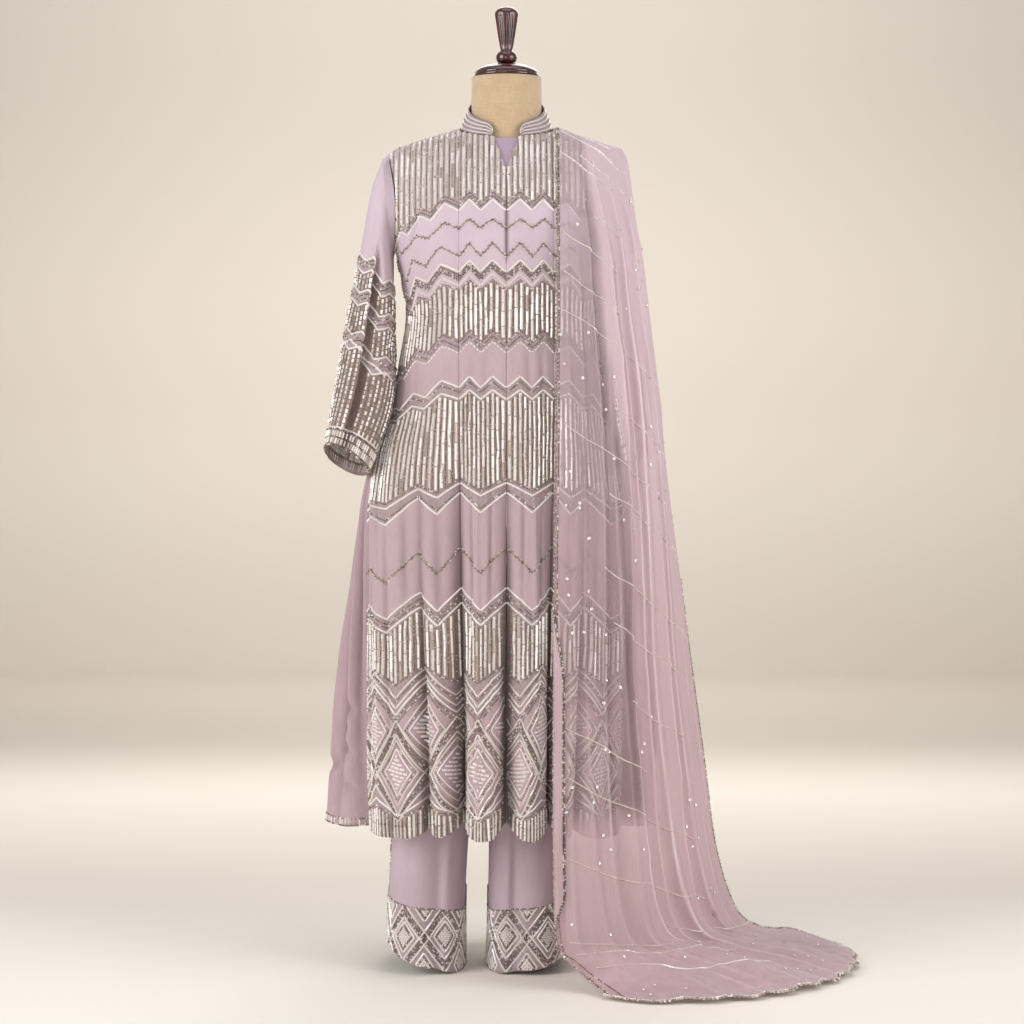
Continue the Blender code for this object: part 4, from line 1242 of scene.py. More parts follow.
    def surface(self, gore: Gore, side: Side, places: Array, across: Array) -> Array:
        """A gore's outer face on a grid of rings and places across."""
        level = spline(self.levels, places)
        first, second = self.edges(gore, side, level)
        level = level[:, None, :]
        turn = np.sign(second - first + 1e-12)
        run, end = (np.linalg.norm(ring(level[:, 0], edge + 0.5) - ring(level[:, 0], edge - 0.5),
                                   axis=-1) for edge in (first, second))
        first = first + turn * self.seam_half / np.maximum(run, 1e-4)
        second = second - turn * self.seam_half / np.maximum(end, 1e-4)
        girth = first[:, None] + (second - first)[:, None] * across[None, :]
        base = ring(level, girth)
        edge = ring(level, girth + 0.5) - ring(level, girth - 0.5)
        inward = unit(np.stack([-edge[..., 1], edge[..., 0], 0.0 * edge[..., 0]], axis=-1))
        valley = sum(share * (0.72 * bump(across, at, width)
                              + 0.42 * bump(across, at, 0.36 * width))
                     for at, share, width in self.crease_rows(gore))
        drop = np.maximum(0.0, (self.fold_top - level[..., 0])
                          / (self.fold_top - self.hem_z)) ** 1.25
        made = base + inward * (self.fold_depth * drop * valley[None, :])[..., None]
        near = np.clip(1.0 - (level[..., 0] - self.hem_z) / 0.10, 0.0, 1.0) ** 1.5
        made[..., 2] += near * (self.hem_lift * np.minimum(valley, 1.0)[None, :] - 0.003)
        return made

    def step_across(self, gore: Gore, side: Side, wave: Wave, across: Array) -> Array:
        """How many zigzags lie between the gore's first edge and each place across."""
        if wave is Wave.FINE:
            return (2.0 if gore.centre else 3.0) * across
        if wave is Wave.MID:
            if gore.centre:
                return across + 0.5
            return np.interp(across, [0, 0.16, 0.32, 0.62, 0.92, 1], [0.5, 1, 1.5, 2, 2.5, 2.65])
        if wave is Wave.LATTICE:
            if not gore.centre:
                return 2.1 * (across - 0.05)
            return 0.877 * (across - 0.57) if side is Side.RIGHT else across - 0.24
        return 0.0 * across

    def line_height(self, gore: Gore, side: Side, line: Line, across: Array) -> Array:
        """A line's pattern height at places across a gore."""
        if line.wave is Wave.FLAT:
            return np.full(np.shape(across), line.height)
        return line.height + line.swing * tri(self.step_across(gore, side, line.wave, across))

    @staticmethod
    def droop(zc: Array) -> Array:
        """How much lower the pattern lies at the side than at the princess seam."""
        return np.interp(zc, [0.26, 0.50, 0.60, 0.70, 0.80, 1.0, 1.05, 1.12, 1.44],
                         [0.0, 0.018, 0.035, 0.040, 0.045, 0.072, 0.078, 0.065, 0.062])

    def fold_in(self, gore: Gore, side: Side, places: Array, across: Array) -> Array:
        """Small pressed creases: an outward or inward depth on the grid."""
        level = spline(self.levels, places)
        z = level[:, 0][:, None]
        u = across[None, :]
        skirt = np.clip((0.97 - z) / 0.7, 0.0, 1.0)
        phase = 1.7 * side.value + 2.3 * list(Gore).index(gore)
        waves = (np.sin(2 * math.pi * (2.1 * u + 0.31 * np.sin(5.0 * z + phase)) + phase)
                 + 0.6 * np.sin(2 * math.pi * (4.7 * u + 0.5 * np.sin(3.1 * z - phase))
                                - 2.0 * phase))
        depth = 0.0016 * skirt * waves
        crush = np.sin(31.0 * z + 9.0 * u + phase) * np.sin(17.0 * z - 13.0 * u + 2.0 * phase)
        depth = depth + 0.0007 * crush * np.clip((1.25 - z) / 0.3, 0.0, 1.0)
        for trough in self.troughs(gore, side):
            du = (u - trough.across) - trough.lean * (z - trough.z)
            depth = depth - trough.depth * bump(du, 0.0, trough.width) * bump(
                z, trough.z, trough.reach)
        seam = bump(u, 0.0, 0.018) + bump(u, 1.0, 0.018)
        return depth * (1.0 - 0.5 * seam) - 0.0003 * seam

    @staticmethod
    def troughs(gore: Gore, side: Side) -> tuple[Trough, ...]:
        """The main creases of a gore; a negative depth is a ridge."""
        if gore is Gore.FRONT_SIDE:
            return (
                Trough(0.80, 1.180, 0.030, 0.030, 2.2, 0.0040),
                Trough(0.88, 1.130, 0.030, 0.025, 2.8, 0.0035),
                Trough(0.55, 1.270, 0.035, 0.040, -1.0, 0.0025),
                Trough(0.45, 0.960, 0.050, 0.080, 0.3, 0.0030),
                Trough(0.62, 0.900, 0.040, 0.110, 0.2, -0.0030),
                Trough(0.78, 0.830, 0.045, 0.140, 0.3, 0.0035),
                Trough(0.16, 0.690, 0.040, 0.120, 0.1, 0.0060),
                Trough(0.30, 0.680, 0.045, 0.110, 0.1, -0.0050),
                Trough(0.44, 0.700, 0.040, 0.110, 0.1, 0.0060),
                Trough(0.62, 0.560, 0.030, 0.200, 0.1, 0.0060),
                Trough(0.72, 0.480, 0.030, 0.180, 0.0, -0.0050),
                Trough(0.86, 0.480, 0.035, 0.200, -0.1, 0.0070),
                Trough(0.94, 0.700, 0.030, 0.120, 0.0, 0.0060),
            )
        if gore is Gore.BACK_SIDE:
            return (
                Trough(0.74, 1.165, 0.035, 0.030, 2.4, 0.0040),
                Trough(0.86, 1.110, 0.030, 0.030, 2.4, 0.0035),
                Trough(0.50, 0.980, 0.050, 0.090, 0.2, 0.0030),
                Trough(0.58, 0.620, 0.035, 0.180, 0.1, 0.0040),
                Trough(0.80, 0.480, 0.035, 0.180, 0.0, -0.0035),
            )
        if gore is Gore.SIDE:
            return (
                Trough(0.10, 0.600, 0.030, 0.220, 0.20, 0.0130),
                Trough(0.18, 0.560, 0.030, 0.200, 0.20, -0.0090),
                Trough(0.27, 0.520, 0.034, 0.230, 0.12, 0.0150),
                Trough(0.38, 0.480, 0.035, 0.180, 0.0, -0.0110),
                Trough(0.50, 0.500, 0.034, 0.230, 0.0, 0.0140),
                Trough(0.62, 0.500, 0.035, 0.200, -0.1, -0.0100),
                Trough(0.74, 0.520, 0.034, 0.230, -0.15, 0.0150),
                Trough(0.86, 0.500, 0.030, 0.180, -0.25, -0.0090),
                Trough(0.18, 0.450, 0.070, 0.012, 2.6, 0.0100),
                Trough(0.26, 0.415, 0.070, 0.011, -2.4, 0.0100),
                Trough(0.20, 0.382, 0.070, 0.010, 2.8, 0.0095),
                Trough(0.34, 0.352, 0.070, 0.011, -2.6, 0.0095),
                Trough(0.16, 0.322, 0.060, 0.009, 2.4, 0.0080),
                Trough(0.62, 0.400, 0.090, 0.013, -2.8, 0.0095),
                Trough(0.76, 0.340, 0.070, 0.012, 2.6, 0.0090),
            )
        tilt = 0.15 * side.value
        return (
            Trough(0.42, 1.020, 0.080, 0.060, tilt, 0.0022),
            Trough(0.72, 1.000, 0.060, 0.050, -tilt, 0.0020),
            Trough(0.30, 0.730, 0.045, 0.120, tilt, 0.0050),
            Trough(0.58, 0.700, 0.050, 0.130, -tilt, -0.0040),
            Trough(0.72, 0.690, 0.035, 0.110, 0.0, 0.0050),
            Trough(0.34, 0.520, 0.050, 0.180, -tilt, -0.0024),
            Trough(0.66, 0.420, 0.050, 0.160, tilt, 0.0026),
        )

    def weave(self, gore: Gore, side: Side) -> tuple[Weave, Array, Array]:
        """A gore's cloth, with its rows' pattern heights and its places across."""
        last = float(self.gore_top) if gore is Gore.SIDE else len(self.levels) - 1.0
        places = even_places(self.levels, 0.0, last, self.row_step, 1)
        count = 64 if gore is Gore.SIDE else self.columns[gore.centre]
        across = np.linspace(0.0, 1.0, count + 1)
        weave = Weave(self.surface(gore, side, places, across))
        weave = weave.moved(self.fold_in(gore, side, places, across)).widened(self.seam)
        level = spline(self.levels, places)
        zc = level[:, 0] - level[:, 6]
        # deep is painted shade: it darkens the cloth in the skirt's valleys, along the troughs and
        # in a line down the centre front slit.
        drop = np.clip((self.fold_top - level[:, 0]) / 0.45, 0.0, 1.0)[:, None]
        deep = drop * sum(share * bump(across, at, 0.36 * width)
                          for at, share, width in self.crease_rows(gore))[None]
        for trough in self.troughs(gore, side):
            if trough.depth > 0.0:
                off = across[None] - trough.across - trough.lean * (level[:, :1] - trough.z)
                deep = deep + 60.0 * trough.depth * bump(off, 0.0, 0.8 * trough.width) * bump(
                    level[:, :1], trough.z, trough.reach)
        if gore is Gore.FRONT_CENTRE:
            low, high, wide = self.slit
            deep = deep + 1.6 * smooth(low, high, level[:, :1]) * bump(
                weave.points[..., 0], 0.0, wide)
        weave.marks = {"deep": np.clip(deep, 0.0, 1.0)}
        if gore is Gore.SIDE:
            return weave, level[:, 0], across
        height = zc[:, None] + np.zeros_like(across)[None, :]
        if not gore.centre:
            height = height + self.droop(zc)[:, None] * across[None, :] ** 1.3
        if gore in (Gore.BACK_SIDE, Gore.BACK_CENTRE):
            height = height - 0.02 * np.clip((zc[:, None] - 1.25) / 0.2, 0.0, 1.0)
        worked = np.full(height.shape, -1.0)
        for top, low in self.stripes:
            inside = np.minimum(self.line_height(gore, side, top, across)[None] - height,
                                height - self.line_height(gore, side, low, across)[None])
            worked = np.maximum(worked, inside)
        banded = np.full(height.shape, -1.0)
        for top, low in self.bands:
            inside = np.minimum(self.line_height(gore, side, top, across)[None] - height,
                                height - self.line_height(gore, side, low, across)[None])
            banded = np.maximum(banded, inside)
        count = self.count(gore, height)
        weave.marks |= {"worked": np.clip(worked, -0.05, 0.05),
                        "banded": np.clip(banded, -0.05, 0.05),
                        "column": np.where(height > self.yoke_z, weave.points[..., 0]
                                           / self.yoke_pitch, across[None, :] * count)}
        return weave, height, across

    def count(self, gore: Gore, height: Number) -> Number:
        """Columns of bugle beads across a gore: more where it flares."""
        height = np.asarray(height)
        few, some, more, most = (9, 10, 11, 13) if gore.centre else (17, 20, 22, 27)
        return np.select([height < 0.35, height < 0.70, height < 1.0], [most, more, some], few)

    def follow(self, weave: Weave, height: Array, across: Array, gore: Gore, side: Side,
               line: Line, step: float) -> tuple[Array, Array]:
        """Points and normals along a line of beadwork, evenly spaced.

        Args:
            weave, height, across: The gore's cloth as weave() gives it.
            gore, side: Which gore it is.
            line: The line.
            step: The distance between points, in metres.

        Returns:
            Points and normals; none where the line doesn't cross the gore.
        """
        edge = 0.05 if gore.centre and line.height < 0.52 else 0.004
        dense = np.linspace(edge, 1.0 - edge, 260)
        level = self.line_height(gore, side, line, dense)
        column = dense * (len(across) - 1)
        row = rows_where(height, column, level, missing=-1.0)
        keep = row >= 0.0
        if keep.sum() < 4:
            return np.empty((0, 3)), np.empty((0, 3))
        points, _ = weave.at(row[keep], column[keep])
        run = run_along(points)
        marks = np.linspace(0.0, run[-1], max(2, int(run[-1] / step) + 1))
        return weave.along(row[keep], column[keep], run, marks)

    def sew_stripes(self, tray: BeadTray, weave: Weave, height: Array, across: Array,
                    gore: Gore, side: Side) -> None:
        """Fills the striped zones with columns of bugle beads and cords between them."""
        rows = np.arange(weave.points.shape[0])
        for top, low in self.stripes[1:]:
            count = int(self.count(gore, top.height))
            for i in range(2 * count):
                u = 0.5 * i / count
                inside_fold = 0.09 if gore.centre and top.height < 0.70 else 0.005
                if u > 1.0 - inside_fold or u < inside_fold:
                    continue
                column = u * (len(across) - 1)
                k = min(int(column), len(across) - 2)
                own = height[:, k] * (k + 1 - column) + height[:, k + 1] * (column - k)
                high = float(self.line_height(gore, side, top, np.array([u]))[0])
                base = float(self.line_height(gore, side, low, np.array([u]))[0])
                first, last = np.interp([base + 0.001, high - 0.001], own, rows)
                if last - first < 1.0:
                    continue
                path = np.linspace(first, last, int((last - first) * 2) + 2)
                half = 0.5 / count * (len(across) - 1)
                at = np.full(path.shape, column)
                wide = np.linalg.norm(weave.at(path, at + half)[0] - weave.at(path, at - half)[0],
                                      axis=1)
                self.sew_column(tray, weave, path, at, wide, i % 2 == 0,
                                self.bugle * (1.6 if top.height < 0.35 else 1.0))
        self.sew_yoke(tray, weave, height, across, gore, side)

    def sew_yoke(self, tray: BeadTray, weave: Weave, height: Array, across: Array,
                 gore: Gore, side: Side) -> None:
        """The yoke's columns, which run straight down from the shoulder."""
        floor = self.line_height(gore, side, self.stripes[0][1], across)
        x = weave.points[..., 0]
        first = math.floor(float(x.min()) / self.yoke_pitch * 2.0)
        last = math.ceil(float(x.max()) / self.yoke_pitch * 2.0)
        for i in range(first, last + 1):
            at = 0.5 * i * self.yoke_pitch
            rows, columns = [], []
            for r in range(len(x)):
                line = x[r] if x[r, 0] < x[r, -1] else x[r, ::-1]
                if not line[0] + 0.001 < at < line[-1] - 0.001:
                    continue
                c = float(np.interp(at, line, np.arange(len(line))))
                c = c if x[r, 0] < x[r, -1] else len(line) - 1 - c
                k = int(round(c))
                if height[r, k] > floor[k] + 0.001 and height[r, k] > self.yoke_z - 0.03:
                    rows.append(float(r))
                    columns.append(c)
            if len(rows) > 1:
                self.sew_column(tray, weave, np.array(rows), np.array(columns),
                                np.full(len(rows), self.yoke_pitch), i % 2 == 0, self.bugle)

    def sew_column(self, tray: BeadTray, weave: Weave, path: Array, at: Array, wide: Array,
                   cord: bool, length: float) -> None:
        """One column of bugle beads, or the dark cord between two.

        Args:
            tray: Where the beads are collected.
            weave: The gore.
            path, at: Rows and columns of the column's line.
            wide: The space there is for it, in metres.
            cord: True for a cord.
            length: A bead's usual length.
        """
        chance = tray.chance
        points, _ = weave.at(path, at)
        run = run_along(points)
        if run[-1] < 0.004:
            return
        if cord:
            marks = np.linspace(0.0, run[-1], max(3, int(run[-1] / 0.006)))
            line, out = weave.along(path, at, run, marks)
            tray.cord(line, out, 0.0017, 0.0012, 0.12)
            keep = chance.random(len(line)) < 0.30
            tray.pips(line[keep], np.gradient(line, axis=0)[keep], out[keep], 0.0032, 0.0026,
                      0.0026, chance.choice([0.0, 0.4, 1.0], int(keep.sum()), p=[0.35, 0.2, 0.45]))
            return
        steps = length * chance.uniform(0.45, 1.75, int(run[-1] / (0.45 * length)) + 2)
        ends = np.concatenate([[0.0], np.cumsum(steps)])
        ends = np.append(ends[ends < run[-1] - 0.0035], run[-1])
        number = len(ends) - 1
        sway = chance.normal(0.0, 0.06, number + 1)
        line, out = weave.along(path, at, run, ends)
        gap = np.minimum(0.03, 0.00018 / np.maximum(np.diff(ends), 1e-4))[:, None] * (
            line[1:] - line[:-1])
        room = np.interp(ends, run, wide)
        aside = unit(np.cross(np.gradient(line, axis=0), out)) * (sway * room)[:, None]
        tone = chance.choice([1.0, 0.92, 0.84, 0.72, 0.52], number,
                             p=[0.44, 0.27, 0.17, 0.08, 0.04])
        tray.bars(line[:-1] + gap + aside[:-1], line[1:] - gap + aside[1:],
                  unit(out[:-1] + out[1:]),
                  np.minimum(room[:-1, None], 0.0095) * chance.uniform(0.56, 0.70, (number, 1)),
                  0.0021, tone + chance.uniform(-0.03, 0.03, number))
        marks = run[-1] * chance.random(int(run[-1] / 0.016))
        spots, out = weave.along(path, at, run, marks)
        tray.pips(spots + out * 0.0012, np.roll(out, 1, axis=1), out, 0.0030, 0.0022, 0.0016,
                  chance.choice([0.05, 0.35, 1.0], len(marks), p=[0.45, 0.35, 0.20]))

    def sew_diamonds(self, tray: BeadTray, weave: Weave, height: Array, across: Array,
                     gore: Gore, side: Side) -> None:
        """The lattice's diamonds: a white outline round rows of small white beads."""
        step = self.step_across(gore, side, Wave.LATTICE, across)

        def lay(a: Array, w: Array) -> tuple[Array, Array, Array]:
            """Points, normals and whether they lie on the gore, by lattice step and height."""
            u = np.interp(a, step, across, left=-1.0, right=2.0)
            on = (u > 0.01) & (u < 0.99)
            column = np.clip(u, 0.0, 1.0) * (len(across) - 1)
            points, normals = weave.at(rows_where(height, column, w), column)
            return points, normals, on

        places = [(m + 0.5, 0.4233) for m in range(-2, 3)] + [(m, 0.3520) for m in range(-2, 4)]
        for centre, level in places:
            if centre + 0.3 < step.min() or centre - 0.3 > step.max():
                continue
            for wide, tall, tone in ((0.36, 0.0560, 0.84), (0.315, 0.0490, 0.30),
                                     (0.26, 0.0410, 0.97)):
                t = np.linspace(0.0, 4.0, 49)
                a = centre + wide * (np.abs(np.mod(t + 1.0, 4.0) - 2.0) - 1.0)
                w = level + tall * (np.abs(np.mod(t, 4.0) - 2.0) - 1.0)
                points, normals, on = lay(a, w)
                for run in np.split(np.arange(len(t)), np.flatnonzero(~on)):
                    run = run[on[run]]
                    if len(run) < 3:
                        continue
                    if tone > 0.5:
                        tray.cord(points[run], normals[run], 0.0032, 0.0017, tone)
                    else:
                        tray.sew(points[run], normals[run], Thread.BRONZE)
            for i in range(9):
                share = (i - 4) / 4.5
                reach = 0.20 * (1.0 - abs(share))
                if reach < 0.02:
                    continue
                number = max(1, int(2.0 * reach / 0.080))
                a = centre + np.linspace(-reach, reach, number + 1)
                w = level + 0.031 * share + 0.02 * (a - centre)
                points, normals, on = lay(a, w)
                if on.sum() < 2:
                    continue
                points, normals = points[on], normals[on]
                tray.bar_row(points, normals, 0.08, 0.0050, 0.0030, 1.0)

    def build(self, shop: Workshop) -> None:
        """Builds the ten gores and their beadwork."""
        for gore in Gore:
            for side in Side:
                name = f"kameez_{gore.value}_{side.word}"
                weave, height, across = self.weave(gore, side)
                if gore is Gore.SIDE:
                    beads = self.side_hem(shop, name, weave)
                    shop.cloth(f"{name}_cloth", weave.turned(0.003, 0.003, 0.012), SIDE_PANEL,
                               [name])
                    continue
                tray = BeadTray(31 + 7 * list(Gore).index(gore) + side.value)
                self.sew_stripes(tray, weave, height, across, gore, side)
                for line in self.lines:
                    points, normals = self.follow(weave, height, across, gore, side, line,
                                                  BEAD_PITCH[line.thread])
                    tray.sew(points, normals, line.thread)
                self.sew_diamonds(tray, weave, height, across, gore, side)
                beads = shop.put(tray.mesh(f"{name}_beads"), BEADS)
                shop.cloth(f"{name}_cloth", weave.turned(0.003, 0.003, 0.014), BODICE,
                           [name])

    def side_hem(self, shop: Workshop, name: str, weave: Weave) -> bpy.types.Object:
        """The narrow beaded band along a plain side panel's hem."""
        tray = BeadTray(5)
        columns = weave.points.shape[1] - 1
        at = np.linspace(0.01, 0.99, 34) * columns
        low, out = weave.at(0.15, at)
        high, _ = weave.at(1.75, at)
        tray.bars(low, high, out, 0.0040, 0.0015, tray.chance.choice([0.95, 0.8, 0.6], len(at)))
        for row, thread in ((0.0, Thread.BRONZE), (1.9, Thread.BRONZE)):
            at = np.linspace(0.0, columns, 90)
            tray.sew(*weave.at(row, at), thread)
        return shop.put(tray.mesh(f"{name}_beads"), BEADS)


@dataclass
class Collar:
    """A standing band with rounded front ends, corded in rows that follow its edge."""

    height: float = 0.034
    lean: float = 0.0125
    end_girth: float = 18.5
    end_round: float = 14.0
    base_half: float = 0.0772
    base_depth: float = 0.0705
    base_z: float = 1.4357
    rows: tuple[float, ...] = (0.12, 0.36, 0.60, 0.84)

    def weave(self) -> Weave:
        """The band's outer face; columns run round it, rows up."""
        base = np.array([self.base_z, self.base_half, self.base_half, self.base_depth,
                         self.base_depth, 2.0, 0.018])
        top = np.array([self.base_z + self.height, self.base_half - self.lean,
                        self.base_half - self.lean, self.base_depth - 0.006,
                        self.base_depth - 0.006, 2.0, 0.031])
        near = self.end_girth + self.end_round * (1.0 - np.cos(np.linspace(0, math.pi / 2, 22)))
        girth = np.concatenate([near[:-1], np.linspace(near[-1], 360.0 - near[-1], 170),
                                360.0 - near[-2::-1]])
        share = np.minimum(1.0, np.minimum(girth - self.end_girth,
                                           360.0 - self.end_girth - girth) / self.end_round)
        full = np.sqrt(np.maximum(0.0, 1.0 - (1.0 - share) ** 2))
        v = np.linspace(0.0, 1.0, 13)[:, None] * (0.30 + 0.70 * full)[None, :]
        low, high = ring(base[None], girth), ring(top[None], girth)
        points = low[None] + (high - low)[None] * v[..., None]
        weave = Weave(points)
        soft = 0.0009 * np.sin(np.pi * np.linspace(0, 1, 13))[:, None]
        return weave.moved(soft * np.ones(points.shape[:2]))

    def build(self, shop: Workshop) -> None:
        """Builds the band and its cords."""
        weave = self.weave()
        rows, columns = weave.points.shape[:2]
        weave.marks = {"worked": np.full((rows, columns), -0.02),
                       "banded": np.full((rows, columns), 0.02),
                       "column": np.zeros((rows, columns))}
        tray = BeadTray(71)
        at = np.linspace(1.0, columns - 2.0, 420)
        for i, share in enumerate(self.rows):
            points, normals = weave.at(share * (rows - 1), at)
            tray.cord(points, normals, 0.0026, 0.0013, 0.97)
            if i < len(self.rows) - 1:
                at_bead = np.linspace(1.0, columns - 2.0, 190)
                between = 0.5 * (share + self.rows[i + 1]) * (rows - 1)
                points, normals = weave.at(between, at_bead)
                tray.pips(points, np.gradient(points, axis=0), normals, 0.0026, 0.0024, 0.0013,
                          np.clip(tray.chance.normal(0.28, 0.15, len(points)), 0.0, 0.9))
        for row in (0.02, 0.985):
            points, normals = weave.at(row * (rows - 1), at)
            tray.cord(points, normals, 0.0018, 0.0010, 0.35)
        beads = shop.put(tray.mesh("kameez_collar_beads"), BEADS)
        shop.cloth("kameez_collar_cloth", weave.turned(0.0015, 0.0015, 0.003, 0.004), BODICE,
                   ["kameez_collar"])


@dataclass
class Slip:
    """The lining cloth that shows behind the neck opening."""

    half_girth: float = 28.0
    under: float = 0.0030
    first: float = 12.0
    last: float = 16.55

    def build(self, shop: Workshop, levels: Array) -> None:
        """Builds it under the kameez's own rings."""
        places = np.linspace(self.first, self.last, 44)
        girth = np.linspace(-self.half_girth, self.half_girth, 44)
        level = spline(levels, places)[:, None, :]
        points = ring(level, np.broadcast_to(girth, (len(places), len(girth))))
        weave = Weave(points)
        soft = 0.0004 * np.sin(girth / 3.1)[None, :] * np.ones((len(places), 1))
        weave = weave.moved(soft - self.under)
        shop.cloth("neck_slip_cloth", weave.turned(0.0, 0.0, 0.004, 0.004), SLIP_CLOTH,
                   ["neck_slip"])


FOLD_TURN = 86.0  # degrees round a sleeve, from its outer edge to the long fold in front
SLEEVE_RINGS: dict[Side, Array] = {
    Side.RIGHT: np.array([
        (0.212, 1.383, 0.1935, 1.214, 0.052, 0.000, 0.000),
        (0.226, 1.345, 0.1925, 1.183, 0.056, 0.003, 0.000),
        (0.236, 1.294, 0.1900, 1.148, 0.058, 0.008, 0.000),
        (0.245, 1.242, 0.1880, 1.112, 0.058, 0.014, 0.000),
        (0.256, 1.187, 0.1880, 1.075, 0.058, 0.021, 0.000),
        (0.267, 1.130, 0.1885, 1.040, 0.058, 0.030, 0.000),
        (0.278, 1.070, 0.1895, 1.000, 0.058, 0.044, 0.002),
        (0.290, 1.003, 0.1965, 0.956, 0.058, 0.060, 0.006),
        (0.300, 0.945, 0.2110, 0.909, 0.058, 0.072, 0.013),
        (0.309, 0.888, 0.2350, 0.852, 0.056, 0.078, 0.020)]),
    Side.LEFT: np.array([
        (0.2005, 1.379, 0.1860, 1.214, 0.052, 0.000, 0.000),
        (0.2055, 1.345, 0.1840, 1.183, 0.058, 0.003, 0.000),
        (0.2080, 1.294, 0.1810, 1.148, 0.062, 0.008, 0.000),
        (0.2110, 1.242, 0.1780, 1.112, 0.064, 0.014, 0.000),
        (0.2155, 1.187, 0.1775, 1.075, 0.064, 0.021, 0.000),
        (0.2215, 1.130, 0.1780, 1.040, 0.064, 0.030, 0.000),
        (0.2300, 1.070, 0.1790, 1.000, 0.064, 0.044, 0.000),
        (0.2390, 1.003, 0.1840, 0.962, 0.064, 0.060, 0.000),
        (0.2470, 0.945, 0.1930, 0.912, 0.064, 0.072, 0.004),
        (0.2530, 0.892, 0.2040, 0.864, 0.062, 0.080, 0.008)]),
}


